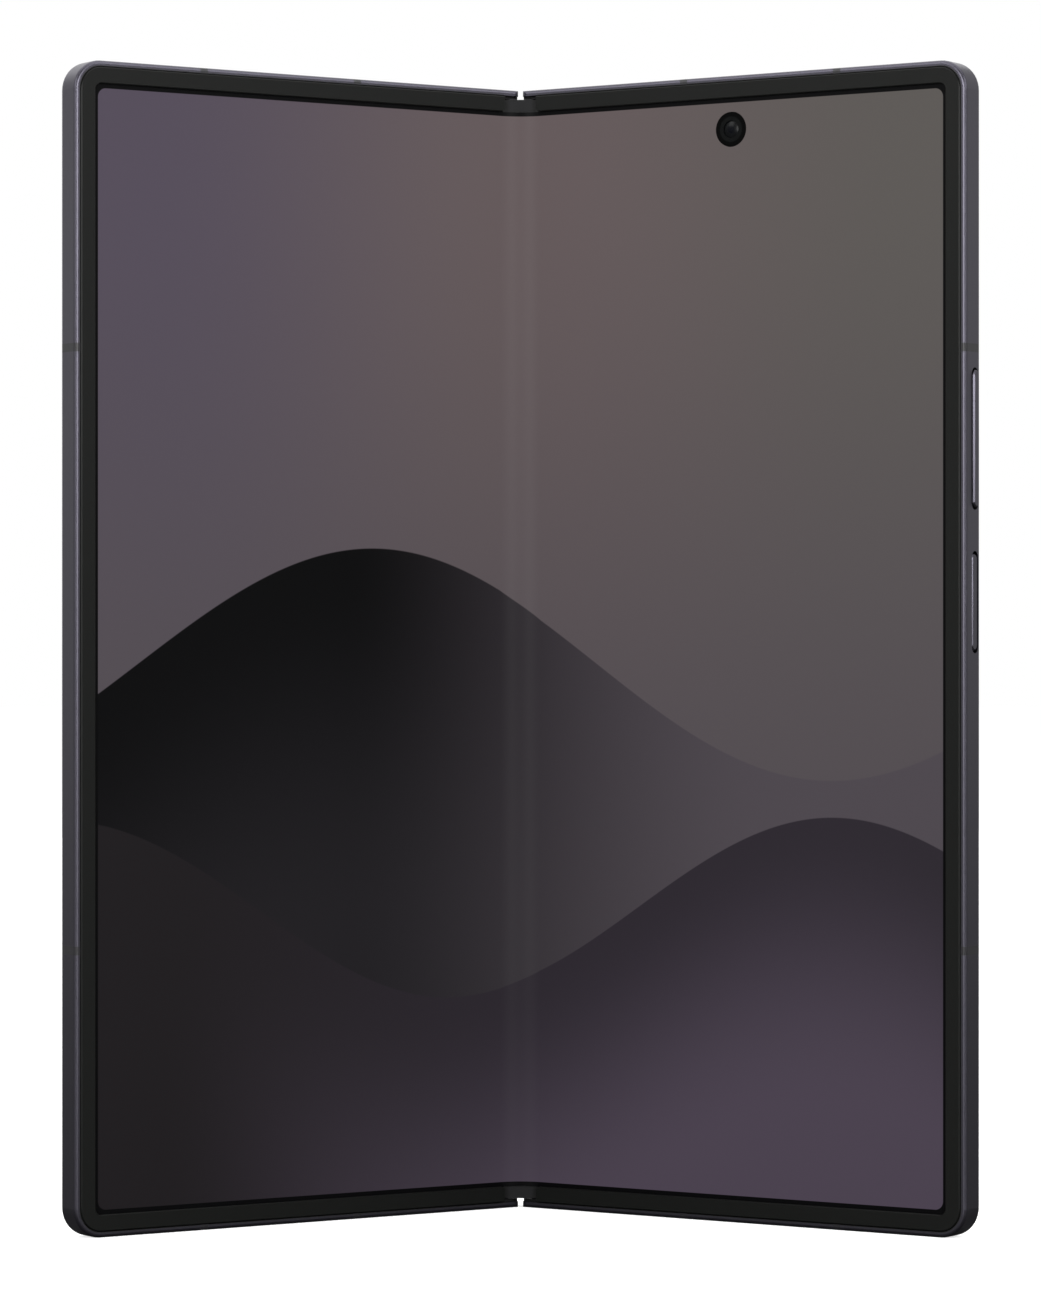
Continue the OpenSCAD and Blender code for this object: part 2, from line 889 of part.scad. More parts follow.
module left_hinge_brackets()
    color("#87898f")
        place_half(LEFT)
            hinge_bracket(guide_s + guide_step);

module right_hinge_brackets()
    color("#87898f")
        place_half(RIGHT)
            hinge_bracket(guide_s);

module left_bracket_screws()
    color("#b9bbc0")
        place_half(LEFT)
            bracket_screw_set();

module right_bracket_screws()
    color("#b9bbc0")
        place_half(RIGHT)
            bracket_screw_set();

// From here: the two frames

// Sweeps a profile, drawn as (distance inward, depth), round three edges from x0
module round_three_edges(x0) {
    both_ends() {
        translate([x0, 0, 0])
            rotate([0, 90, 0])
                linear_extrude(half_w - corner_r - x0)
                    translate([-top_z, 0])
                        children();
        translate([half_w - corner_r, 0, top_z - corner_r])
            rotate([90, 0, 0])
                rotate_extrude(angle = 90)
                    mirror([0, 1])
                        translate([corner_r, 0])
                            mirror([1, 0])
                                children();
    }
    translate([0, 0, corner_r - top_z])
        linear_extrude(phone_h - 2 * corner_r)
            translate([half_w, 0])
                mirror([1, 0])
                    children();
}

module band_profile()
    polygon(concat(
        [[rim_w, 0]],
        arc(front_edge_r, front_edge_r, front_edge_r, 270, 180, edge_steps),
        arc(back_edge_r, phone_t - back_edge_r, back_edge_r, 180, 90, edge_steps),
        [[back_rim_w, phone_t], [back_rim_w, shelf_y], [wall_w, shelf_y], [wall_w, seat_y], [rim_w, seat_y]]
    ));

module band()
    round_three_edges(0)
        band_profile();

// The room that the spine needs inside a half, and the rounded ends of the walls beside it
module hinge_room() {
    block([-past, -past, -pocket_z], [rail_x, shelf_y, pocket_z]);
    translate([0, 0, -top_z - past])
        linear_extrude(phone_h + 2 * past)
            polygon(concat(
                [[-past, -past], [wall_end_x, -past]],
                arc(wall_end_x, wall_end_front_r, wall_end_front_r, 270, 180, edge_steps),
                [[edge_gap, shaft_y], [edge_gap, phone_t - back_chamfer], [edge_gap + back_chamfer, phone_t]],
                [[edge_gap + back_chamfer, phone_t + past], [-past, phone_t + past]]
            ));
    both_ends()
        deep(-past, phone_t + past)
            difference() {
                translate([-past, top_z - wall_end_r])
                    square([past + end_corner_x, wall_end_r + past]);
                translate([end_corner_x, top_z - wall_end_r])
                    circle(wall_end_r);
            }
}

module antenna_slots() {
    both_ends() {
        block([half_w - wall_w, -past, antenna_z - antenna_w / 2],
            [half_w + past, phone_t + past, antenna_z + antenna_w / 2]);
        for (x = [antenna_x1, antenna_x2])
            block([x - antenna_w / 2, -past, top_z - wall_w],
                [x + antenna_w / 2, phone_t + past, top_z + past]);
    }
}

module bracket_room()
    both_ends() {
        block([rail_x - past, seat_y - past, module_z - module_l - bracket_gap],
            [bracket_x1 + bracket_gap, bracket_y1, module_z + bracket_gap]);
        bracket_sites()
            post(0, 0, screw_r, 0, bracket_y1 + screw_tap);
    }

module cable_channel()
    both_ends()
        block([rail_x - past, screen_y + cable_y - cable_channel, cable_z - cable_w / 2 - cable_channel],
            [rail_x1 + past, screen_y + cable_y + cable_t + cable_channel,
                cable_z + cable_w / 2 + cable_channel]);

module frame_half(rail_y)
    difference() {
        union() {
            band();
            deep(seat_y, mid_y)
                polygon(rounded(rail_x1 - past, mid_inset - top_z, half_w - mid_inset,
                    top_z - mid_inset, mid_corner_r));
            block([rail_x, seat_y, end_wall_w - top_z], [rail_x1, rail_y, top_z - end_wall_w]);
            block([rail_x, seat_y, end_wall_w - top_z], [strip_w, phone_t, top_z - end_wall_w]);
            block([0, shelf_y, end_wall_w - top_z], [strip_w, phone_t, top_z - end_wall_w]);
            both_ends()
                block([0, seat_y, pocket_z], [strip_w, phone_t, top_z - back_edge_r]);
        }
        hinge_room();
        antenna_slots();
        bracket_room();
        cable_channel();
    }

module board_posts(x0, z0, x1, z1, r, y0, y1)
    for (x = [x0 + board_screw_in, x1 - board_screw_in])
        for (z = [z0 + board_screw_in, z1 - board_screw_in])
            post(x, z, r, y0, y1);

module left_board_posts(r, y0, y1)
    board_posts(parts_x, left_board_z0, left_board_x1, left_board_z1, r, y0, y1);

module right_board_posts(r, y0, y1)
    board_posts(parts_x, main_board_z0, main_board_x1, main_board_z1, r, y0, y1);

module left_frame()
    color("#55545c")
        place_half(LEFT)
            difference() {
                union() {
                    frame_half(left_rail_y);
                    left_board_posts(post_r, mid_y - mid_t / 2, mid_y + board_y);
                }
                left_board_posts(board_screw_r, mid_y, mid_y + board_y + past);
                translate([sim_x, sim_y, top_z - sim_face_t])
                    linear_extrude(sim_face_t + past)
                        polygon(pill(sim_face_l + 2 * sim_gap, sim_face_w + 2 * sim_gap));
                block([sim_x - sim_body_w / 2 - sim_gap, sim_y - sim_body_t / 2 - sim_gap,
                        top_z - wall_w - past],
                    [sim_x + sim_body_w / 2 + sim_gap, sim_y + sim_body_t / 2 + sim_gap, top_z - past]);
                translate([mic_x, hole_y, -top_z - past])
                    cylinder(r = mic_r, h = wall_w + 2 * past);
            }

module key_slot(z, l, room) {
    side_pill(wall_w + past, -past, z, l + 2 * key_gap, key_w + 2 * key_gap);
    side_pill(wall_w + past, flange_u0 - room, z, l + 2 * flange_out + 4 * key_gap,
        key_w + 2 * key_gap);
}

module right_frame()
    color("#55545c")
        place_half(RIGHT)
            difference() {
                union() {
                    frame_half(shelf_y);
                    right_board_posts(post_r, mid_y - mid_t / 2, mid_y + board_y);
                }
                right_board_posts(board_screw_r, mid_y, mid_y + board_y + past);
                post(inner_cam_x, top_z - inner_cam_down, inner_cam_r + inner_cam_gap, 0, phone_t);
                key_slot(volume_z, volume_l, rocker_room);
                key_slot(side_z, side_l, 0);
                translate([port_x, port_y, -top_z - past])
                    linear_extrude(port_l + 2 * past)
                        port_outline(port_gap);
                for (i = [0:speaker_holes - 1])
                    translate([speaker_x + i * speaker_pitch, hole_y, -top_z - past])
                        cylinder(r = speaker_r, h = wall_w + 2 * past);
                both_ends()
                    translate([mic_x, hole_y, top_z - wall_w - past])
                        cylinder(r = mic_r, h = wall_w + 2 * past);
            }

module antenna_bands()
    intersection() {
        band();
        antenna_slots();
    }

module left_antenna_bands()
    color("#3a393e")
        place_half(LEFT)
            antenna_bands();

module right_antenna_bands()
    color("#3a393e")
        place_half(RIGHT)
            antenna_bands();

module bezel_ring()
    difference() {
        round_three_edges(bezel_end_x)
            polygon([
                [bezel_out, seat_y], [bezel_out, bezel_chamfer - bezel_up],
                [bezel_out + bezel_chamfer, -bezel_up], [bezel_in - bezel_chamfer, -bezel_up],
                [bezel_in, bezel_chamfer - bezel_up], [bezel_in, bezel_under_y],
                [bezel_foot, bezel_under_y], [bezel_foot, seat_y]
            ]);
        both_ends()
            deep(-past, phone_t)
                difference() {
                    translate([bezel_end_x - past, top_z - bezel_in - past])
                        square(bezel_end_r + past);
                    translate([bezel_end_x + bezel_end_r, top_z - bezel_in + bezel_end_r])
                        circle(bezel_end_r);
                }
    }

module left_bezel()
    color("#202021")
        place_half(LEFT)
            bezel_ring();

module right_bezel()
    color("#202021")
        place_half(RIGHT)
            bezel_ring();

// From here: the inner display

module screen_layer(y0, y1, inset)
    deep(y0, y1)
        polygon(rounded(bend_x + inset, inset - screen_z, half_w - screen_inset - inset,
            screen_z - inset, screen_corner_r));

module display_panel_left()
    color("#4d4850")
        place_half(LEFT)
            screen_layer(screen_y, plate_y, 0);

module display_panel_right()
    color("#4d4850")
        place_half(RIGHT)
            difference() {
                screen_layer(screen_y, plate_y, 0);
                post(inner_cam_x, top_z - inner_cam_down, inner_cam_r + inner_cam_gap, -past, phone_t);
            }

module display_plate_left()
    color("#8a8c91")
        place_half(LEFT)
            screen_layer(plate_y, seat_y, plate_inset);

module display_plate_right()
    color("#8a8c91")
        place_half(RIGHT)
            difference() {
                screen_layer(plate_y, seat_y, plate_inset);
                post(inner_cam_x, top_z - inner_cam_down, inner_cam_r + inner_cam_gap, -past, phone_t);
            }

module inner_camera()
    color("#101012")
        place_half(RIGHT)
            translate([inner_cam_x, 0, top_z - inner_cam_down]) {
                difference() {
                    post(0, 0, inner_cam_r, screen_y, mid_y + past);
                    post(0, 0, inner_cam_r / 2, 0, screen_y + screen_t / 2);
                }
                block([-inner_cam_w / 2, mid_y, -inner_cam_w / 2],
                    [inner_cam_w / 2, mid_y + inner_cam_t, inner_cam_w / 2]);
            }

// From here: the back covers and the cover display

module back_cover()
    difference() {
        deep(shelf_y, phone_t)
            polygon(rounded(strip_w + glass_gap, back_rim_w + glass_gap - top_z,
                half_w - back_rim_w - glass_gap, top_z - back_rim_w - glass_gap,
                corner_r - back_rim_w));
        children();
    }

module cover_glass()
    color("#0c0c0e")
        place_half(LEFT)
            back_cover();

module cover_display_panel()
    color("#26242b")
        place_half(LEFT)
            difference() {
                deep(left_rail_y, shelf_y)
                    polygon(rounded(strip_w + 2 * glass_gap, wall_w + glass_gap - top_z,
                        half_w - wall_w - glass_gap, top_z - wall_w - glass_gap,
                        corner_r - wall_w - glass_gap));
                post(cover_cam_x, top_z - cover_cam_down, cover_cam_r + inner_cam_gap, 0, phone_t);
            }

module cover_camera()
    color("#141416")
        place_half(LEFT)
            translate([cover_cam_x, 0, top_z - cover_cam_down]) {
                block([-cover_cam_w / 2, mid_y, -cover_cam_w / 2],
                    [cover_cam_w / 2, left_rail_y, cover_cam_w / 2]);
                post(0, 0, cover_cam_r, left_rail_y - mid_t, shelf_y);
            }

module island_outline(less)
    deep(-past, phone_t + 2 * past + island_up)
        translate([island_x, island_z])
            rotate(90)
                polygon(pill(island_l - 2 * less, island_w - 2 * less));

module back_glass()
    color("#3b3d42")
        place_half(RIGHT)
            back_cover() {
                island_outline(island_lap);
                post(flash_x, flash_z, flash_r, 0, 2 * phone_t);
            }

module lens_sites()
    for (i = [-1:1])
        translate([island_x, 0, island_z + i * lens_pitch])
            children();

module camera_island()
    color("#45454b")
        place_half(RIGHT)
            difference() {
                intersection() {
                    island_outline(0);
                    block([0, phone_t, 0], [half_w, phone_t + island_up, top_z]);
                }
                intersection() {
                    island_outline(island_lap);
                    block([0, 0, 0], [half_w, module_back_y, top_z]);
                }
                lens_sites()
                    post(0, 0, lens_hole_r, 0, 2 * phone_t);
            }

module camera_lens_rings()
    color("#6b6b72")
        place_half(RIGHT)
            lens_sites()
                difference() {
                    post(0, 0, lens_ring_r, phone_t + island_up, phone_t + island_up + lens_ring_up);
                    post(0, 0, lens_hole_r, 0, 2 * phone_t);
                    post(0, 0, lens_glass_r, phone_t + island_up + lens_ring_up - lens_glass_t, 2 * phone_t);
                }

module camera_lens_glass()
    color("#0d0f14")
        place_half(RIGHT)
            lens_sites()
                post(0, 0, lens_glass_r, phone_t + island_up + lens_ring_up - lens_glass_t,
                    phone_t + island_up + lens_ring_up);

module camera_modules()
    color("#1c1d20")
        place_half(RIGHT)
            lens_sites() {
                block([-module_w / 2, mid_y, -module_w / 2],
                    [module_w / 2, shelf_y - neck_gap, module_w / 2]);
                post(0, 0, module_w / 2, shelf_y - mid_t, module_back_y);
                post(0, 0, barrel_r, module_back_y - mid_t,
                    phone_t + island_up + lens_ring_up - lens_glass_t);
            }

module flash_lens()
    color("#e9e4d2")
        place_half(RIGHT)
            union() {
                post(flash_x, flash_z, flash_r - glass_gap, shelf_y - mid_t, phone_t);
                post(flash_x, flash_z, flash_r / 2, board_back_y, shelf_y);
            }

// From here: the parts inside the halves

module battery(z0, z1, y1) {
    deep(mid_y, y1)
        polygon(rounded(parts_x, z0, battery_x1, z1, battery_r));
    deep(mid_y, mid_y + mid_t)
        polygon(rounded(parts_x + battery_tab_l, z1 - battery_tab_l, parts_x + 5 * battery_tab_l,
            z1 + battery_tab_l, mid_t));
}

module left_battery()
    color("#2e3033")
        place_half(LEFT)
            battery(left_battery_z0, left_battery_z1, left_rail_y);

module right_battery()
    color("#2e3033")
        place_half(RIGHT)
            battery(right_battery_z0, right_battery_z1, mid_y + right_battery_t);

module wireless_coil()
    color("#b06a35")
        place_half(RIGHT)
            translate([(parts_x + battery_x1) / 2, 0, coil_z])
                difference() {
                    post(0, 0, coil_r, mid_y + right_battery_t, mid_y + right_battery_t + coil_t);
                    post(0, 0, coil_hole_r, 0, phone_t);
                }

module circuit_board(x0, z0, x1, z1)
    deep(mid_y + board_y, board_back_y)
        polygon(rounded(x0, z0, x1, z1, board_r));

module left_board()
    color("#1f5a3a")
        place_half(LEFT)
            difference() {
                circuit_board(parts_x, left_board_z0, left_board_x1, left_board_z1);
                left_board_posts(board_screw_r, 0, phone_t);
            }

module main_board()
    color("#1f5a3a")
        place_half(RIGHT)
            difference() {
                circuit_board(parts_x, main_board_z0, main_board_x1, main_board_z1);
                right_board_posts(board_screw_r, 0, phone_t);
                post(inner_cam_x, top_z - inner_cam_down, inner_cam_w, 0, phone_t);
            }

module board_shields()
    color("#b4b6ba")
        place_half(RIGHT) {
            block([parts_x + 2 * board_screw_in, board_back_y, main_board_z0 + shield_wall],
                [shield_middle_x - shield_wall / 2, board_back_y + shield_t,
                    shield_z1]);
            block([shield_middle_x + shield_wall / 2, board_back_y, main_board_z0 + shield_wall],
                [main_board_x1 - 2 * board_screw_in - shield_wall, board_back_y + shield_t,
                    flash_z - 2 * flash_r]);
        }

module left_board_screws()
    color("#c2c4c8")
        place_half(LEFT) {
            left_board_posts(board_screw_r, mid_y, board_back_y);
            left_board_posts(board_head_r, board_back_y, board_back_y + screw_head_t);
        }

module right_board_screws()
    color("#c2c4c8")
        place_half(RIGHT) {
            right_board_posts(board_screw_r, mid_y, board_back_y);
            right_board_posts(board_head_r, board_back_y, board_back_y + screw_head_t);
        }

module earpiece_speaker()
    color("#35363a")
        place_half(LEFT)
            block([earpiece_x0, mid_y, earpiece_z0], [earpiece_x1, left_rail_y, earpiece_z1]);

module vibration_motor()
    color("#a8aaae")
        place_half(LEFT)
            post(motor_x, motor_z, motor_r, mid_y, left_rail_y);

module closing_magnet()
    block([half_w - magnet_in, mid_y, magnet_z - magnet_l / 2],
        [half_w - magnet_in + magnet_w, left_rail_y, magnet_z + magnet_l / 2]);

module closing_magnets_left()
    color("#90929a")
        place_half(LEFT)
            closing_magnet();

module closing_magnets_right()
    color("#90929a")
        place_half(RIGHT)
            closing_magnet();

module loudspeaker()
    color("#2a2b2f")
        place_half(RIGHT)
            block([loudspeaker_x0, mid_y, wall_w - top_z], [loudspeaker_x1, shelf_y, loudspeaker_z1]);

module bottom_board()
    color("#1f5a3a")
        place_half(RIGHT)
            block([bottom_board_x0, mid_y, port_l + board_clear - top_z],
                [bottom_board_x1, mid_y + board_t, right_battery_z0 - board_clear]);

module port_outline(more)
    polygon(rounded(-port_w / 2 - more, -port_t / 2 - more, port_w / 2 + more, port_t / 2 + more,
        port_r + more));

module usb_port()
    color("#9c9ea3")
        place_half(RIGHT)
            translate([port_x, port_y, -top_z]) {
                difference() {
                    translate([0, 0, front_edge_r])
                        linear_extrude(port_l)
                            port_outline(0);
                    linear_extrude(port_l)
                        port_outline(-port_wall);
                }
                block([-tongue_w / 2, -tongue_t / 2, port_l - tongue_l],
                    [tongue_w / 2, tongue_t / 2, port_l + port_wall]);
                block([-port_w / 2 + port_r, mid_y + board_t - port_y, port_l + port_wall],
                    [port_w / 2 - port_r, port_t / 2, port_l + port_tail_l]);
            }

// From here: the keys and the SIM tray

module key_body(z, l, out) {
    side_pill(flange_u0, -out, z, l, key_w);
    side_pill(flange_u0 + flange_t, flange_u0, z, l + 2 * flange_out, key_w);
}

module key_nub(z)
    translate([half_w - flange_u0 - flange_t - nub_l, key_y, z])
        rotate([0, 90, 0])
            cylinder(r = nub_r, h = nub_l);

module volume_key()
    color("#504f57")
        place_half(RIGHT) {
            key_body(volume_z, volume_l, volume_out);
            for (dz = [-nub_spread, nub_spread])
                key_nub(volume_z + dz);
        }

module side_key()
    color("#3d3d43")
        place_half(RIGHT) {
            key_body(side_z, side_l, 0);
            key_nub(side_z);
        }

module key_dome(z)
    translate([half_w, key_y, z])
        rotate([0, -90, 0]) {
            translate([0, 0, switch_u])
                cylinder(r = dome_tip_r, h = switch_base_u - switch_u);
            translate([0, 0, (switch_u + switch_base_u) / 2])
                cylinder(r = dome_r, h = (switch_base_u - switch_u) / 2);
        }

module key_switches()
    color("#6a5a3a")
        place_half(RIGHT)
            union() {
                block([half_w - switch_back_u, mid_y, side_z - side_l / 2],
                    [half_w - switch_base_u, shelf_y - mid_t, volume_z + volume_l / 2]);
                for (z = [side_z, volume_z - nub_spread, volume_z + nub_spread])
                    key_dome(z);
            }

module sim_tray()
    color("#5b5a62")
        place_half(LEFT)
            difference() {
                union() {
                    translate([sim_x, sim_y, top_z - sim_face_t])
                        linear_extrude(sim_face_t)
                            polygon(pill(sim_face_l, sim_face_w));
                    block([sim_x - sim_body_w / 2, sim_y - sim_body_t / 2, top_z - sim_l],
                        [sim_x + sim_body_w / 2, sim_y + sim_body_t / 2, top_z - sim_face_t / 2]);
                }
                block([sim_x - card_w / 2, 0, top_z - sim_l + card_up],
                    [sim_x + card_w / 2, phone_t, top_z - sim_l + card_up + card_l]);
                translate([sim_x + eject_x, sim_y, top_z - sim_face_t - past])
                    cylinder(r = eject_r, h = sim_face_t + 2 * past);
            }

module sim_reader()
    color("#b4b6ba")
        place_half(LEFT)
            difference() {
                block([sim_x - reader_w / 2, mid_y, top_z - sim_l - reader_wall],
                    [sim_x + reader_w / 2, left_rail_y, top_z - wall_w]);
                block([sim_x - sim_body_w / 2 - sim_gap, sim_y - sim_body_t / 2 - sim_gap,
                        top_z - sim_l - sim_gap],
                    [sim_x + sim_body_w / 2 + sim_gap, sim_y + sim_body_t / 2 + sim_gap, top_z]);
            }

hinge_cover();
hinge_end_caps();
hinge_housings();
housing_screws();
gear_shafts();
torque_springs();
cam_followers();
cover_stiffener();
display_bend();
hinge_flex_cables();
left_sync_arms();
right_sync_arms();
left_idler_gears();
right_idler_gears();
left_frame();
left_antenna_bands();
left_bezel();
left_hinge_brackets();
left_bracket_screws();
display_panel_left();
display_plate_left();
cover_glass();
cover_display_panel();
cover_camera();
left_battery();
left_board();
left_board_screws();
left_flex_connectors();
earpiece_speaker();
vibration_motor();
closing_magnets_left();
sim_reader();
sim_tray();
right_frame();
right_antenna_bands();
right_bezel();
right_hinge_brackets();
right_bracket_screws();
display_panel_right();
display_plate_right();
back_glass();
camera_island();
camera_lens_rings();
camera_lens_glass();
camera_modules();
flash_lens();
main_board();
board_shields();
right_board_screws();
right_flex_connectors();
right_battery();
wireless_coil();
inner_camera();
loudspeaker();
usb_port();
bottom_board();
closing_magnets_right();
key_switches();
volume_key();
side_key();
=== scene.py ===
import json
from math import radians

import bmesh
import bpy
import numpy as np
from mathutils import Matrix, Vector


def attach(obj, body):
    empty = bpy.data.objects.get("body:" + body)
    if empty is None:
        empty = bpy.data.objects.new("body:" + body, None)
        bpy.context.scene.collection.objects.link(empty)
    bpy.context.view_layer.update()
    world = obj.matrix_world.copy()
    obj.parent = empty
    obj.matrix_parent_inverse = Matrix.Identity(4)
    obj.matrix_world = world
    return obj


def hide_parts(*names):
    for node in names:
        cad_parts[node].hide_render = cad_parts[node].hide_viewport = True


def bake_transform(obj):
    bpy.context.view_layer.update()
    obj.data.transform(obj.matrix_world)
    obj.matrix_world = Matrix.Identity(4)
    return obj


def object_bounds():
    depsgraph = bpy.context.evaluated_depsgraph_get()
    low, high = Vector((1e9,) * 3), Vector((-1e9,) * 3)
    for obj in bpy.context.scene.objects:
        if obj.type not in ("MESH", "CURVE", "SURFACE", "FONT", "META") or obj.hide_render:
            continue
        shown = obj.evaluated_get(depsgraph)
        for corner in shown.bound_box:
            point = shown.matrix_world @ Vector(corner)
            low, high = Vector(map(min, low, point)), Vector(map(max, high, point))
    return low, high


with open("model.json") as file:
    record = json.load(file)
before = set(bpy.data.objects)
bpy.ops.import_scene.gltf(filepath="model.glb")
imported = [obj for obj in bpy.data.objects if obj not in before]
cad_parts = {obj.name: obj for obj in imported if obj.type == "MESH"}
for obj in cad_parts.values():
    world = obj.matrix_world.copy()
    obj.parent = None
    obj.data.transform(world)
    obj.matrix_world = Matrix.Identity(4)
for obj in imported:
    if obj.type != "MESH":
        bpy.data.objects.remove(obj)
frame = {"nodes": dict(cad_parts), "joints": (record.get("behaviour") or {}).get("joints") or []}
cad_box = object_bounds()


# ---- Camera -------------------------------------------------------------------------
# A long lens at mid-height, straight in front of the hinge, so that the two halves
# come forward evenly on both sides. The rendered frame is 1041 by 1298 pixels. Lengths
# here and in the studio are in metres, apart from the sensor's 36 mm.
picture_height = 1298
focal_pixels = 4930
sensor = 36
camera_y = -0.68206
clip_near = 0.01

scene = bpy.context.scene
camera_data = bpy.data.cameras.new("camera")
camera_data.sensor_width = sensor
camera_data.lens = sensor * focal_pixels / picture_height
camera_data.clip_start = clip_near
camera = bpy.data.objects.new("camera", camera_data)
camera.location = (0, camera_y, (cad_box[0].z + cad_box[1].z) / 2)
camera.rotation_euler = (radians(90), 0, 0)
scene.collection.objects.link(camera)
scene.camera = camera
scene.view_settings.view_transform = "Standard"


# ---- Studio -------------------------------------------------------------------------
# A white floor runs out into a white room, with soft boxes round the phone: two in front, two
# at its shoulders, two beside it, one behind and one above. The room is white to the camera
# and dimmer in reflections, so that dark glossy surfaces stay dark.
def linear(code):
    """sRGB hex colour as linear RGBA: each channel by the sRGB curve's two pieces."""
    srgb = np.array([int(code[i:i + 2], 16) for i in (1, 3, 5)]) / 255
    low = srgb / 12.92
    high = ((srgb + 0.055) / 1.055) ** 2.4
    return (*np.where(srgb <= 0.04045, low, high), 1.0)


def feed(socket, value):
    """Gives a socket its value: a number or tuple, a hex colour, another node's output, or a
    node, whose first output in use is taken."""
    if isinstance(value, bpy.types.Node):
        value = next(output for output in value.outputs if output.enabled)
    if isinstance(value, bpy.types.NodeSocket):
        socket.id_data.links.new(value, socket)
    else:
        socket.default_value = linear(value) if isinstance(value, str) else value


def add(tree, kind, *values, sockets=(), **settings):
    """Adds a shader node. settings are its properties, values feed its sockets in use in their
    order, and sockets feeds more of them by name."""
    node = tree.nodes.new("ShaderNode" + kind)
    for name, value in settings.items():
        setattr(node, name, value)
    in_use = [socket for socket in node.inputs if socket.enabled]
    for socket, value in zip(in_use, values):
        feed(socket, value)
    for name, value in dict(sockets).items():
        feed(node.inputs[name], value)
    return node


def seen_direct(tree):
    """1 for rays that reach a surface from the camera, straight or through glass."""
    rays = add(tree, "LightPath").outputs
    return add(tree, "Math", rays["Is Camera Ray"], rays["Is Transmission Ray"], operation="MAXIMUM")


floor_half = 6.0
floor_glow = 0.62
floor_data = bpy.data.meshes.new("floor")
corners = floor_half * np.array([(-1, -1, 0), (1, -1, 0), (1, 1, 0), (-1, 1, 0)])
floor_data.from_pydata(corners.tolist(), [], [(0, 1, 2, 3)])
floor = bpy.data.objects.new("floor", floor_data)
scene.collection.objects.link(floor)

# Matt white paint looks even and keeps the phone's soft shadow. A glow that shows only straight
# or through glass brings it near the room's white, and in reflections the paint is dark grey.
floor_paint = bpy.data.materials.new("white_floor_paint")
floor_paint.use_nodes = True
tree = floor_paint.node_tree
tree.nodes.clear()
lift = add(tree, "Math", seen_direct(tree), floor_glow, operation="MULTIPLY")
glow = add(tree, "Emission", "#FFFFFF", lift)
glossy = add(tree, "LightPath").outputs["Is Glossy Ray"]
paint = add(tree, "BsdfDiffuse", add(tree, "Mix", glossy, "#E8E8E8", "#484848", data_type="RGBA"))
add(tree, "OutputMaterial", add(tree, "AddShader", paint, glow))
floor_data.materials.append(floor_paint)

room_light = 0.5
room_in_gloss = 0.35
room_seen = 1.0
world = bpy.data.worlds.new("white_room")
scene.world = world
world.use_nodes = True
tree = world.node_tree
tree.nodes.clear()
glossy = add(tree, "LightPath").outputs["Is Glossy Ray"]
power = add(tree, "Mix", glossy, room_light, room_in_gloss)
power = add(tree, "Mix", seen_direct(tree), power, room_seen)
add(tree, "OutputWorld", add(tree, "Background", "#FFFFFF", power))


def soft_box(name, place, size, watts):
    """A square area lamp at place that faces the middle of the phone and that no camera sees."""
    lamp = bpy.data.lights.new(name, "AREA")
    lamp.size = size
    lamp.energy = watts
    body = bpy.data.objects.new(name, lamp)
    body.location = place
    middle = Vector((0, 0, camera.location.z))
    body.rotation_euler = (middle - Vector(place)).to_track_quat("-Z", "Y").to_euler()
    body.visible_camera = False
    scene.collection.objects.link(body)


sides = ((-1, "left"), (1, "right"))
for side, name in sides:
    soft_box(f"soft_box_front_{name}", (side * 0.48, -0.9, 0.3), size=0.35, watts=4.6)
    soft_box(f"soft_box_side_{name}", (side * 0.75, 0.36, 0.36), size=0.9, watts=0.75)
    soft_box(f"soft_box_shoulder_{name}", (side * 0.8, -0.38, 0.6), size=0.35, watts=1.6)
soft_box("soft_box_above", (0.0, 0.1, 1.15), size=1.4, watts=10.0)
soft_box("soft_box_back", (-0.25, 1.2, 0.5), size=1.8, watts=9.0)


# ---- The two frames, the SIM tray and the camera island -----------------------------
# Each half's rim and wall is one machined piece of aluminium, bead-blasted and anodised a
# dark violet grey. The tray's face and the island come from the same stock and the same
# bath, so that the tray vanishes into the wall.
right_fold = next(joint for joint in frame["joints"] if joint["name"] == "right_fold")
hinge_x, hinge_y = (1000 * c for c in right_fold["pos_m"][:2])
fold = radians(right_fold["range_deg"][1])
mid_height = 1000 * (cad_box[0].z + cad_box[1].z) / 2

# Sizes from here on are in millimetres.
pivot_depth = 1.0
half_width = 71.6
half_height = 79.2
corner_radius = 4.0
rim_width = 0.8
seat_depth = 0.9


def material(name, colour, sockets=()):
    """A new material, its tree and its Principled shader, with constants on the shader's own
    sockets."""
    made = bpy.data.materials.new(name)
    made.use_nodes = True
    shader = made.node_tree.nodes["Principled BSDF"]
    feed(shader.inputs["Base Color"], colour)
    for socket, value in dict(sockets).items():
        feed(shader.inputs[socket], value)
    return made, made.node_tree, shader


def speckle(tree, shader, grain_mm, colours, roughness, bump_mm, stretch=(1, 1, 1)):
    """Noise at the given grain size, longer where stretch is over 1: it moves the colour and the
    roughness between two values each, and raises the surface by bump_mm. Gives the colour."""
    scale = tuple(1000 / (grain_mm * s) for s in stretch)
    place = add(tree, "Mapping", add(tree, "TexCoord").outputs["Object"], sockets={"Scale": scale})
    noise = add(tree, "TexNoise", place, sockets={"Scale": 1.0, "Detail": 2.0})
    shade = add(tree, "Mix", noise, *colours, data_type="RGBA")
    feed(shader.inputs["Base Color"], shade)
    feed(shader.inputs["Roughness"], add(tree, "Mix", noise, *roughness))
    feed(shader.inputs["Normal"], add(tree, "Bump", sockets={"Height": noise, "Distance": bump_mm / 1000}))
    return shade


def dress(finish, *names):
    """Gives these CAD nodes one finish in every material slot."""
    for name in names:
        for place in frame["nodes"][name].material_slots:
            place.material = finish


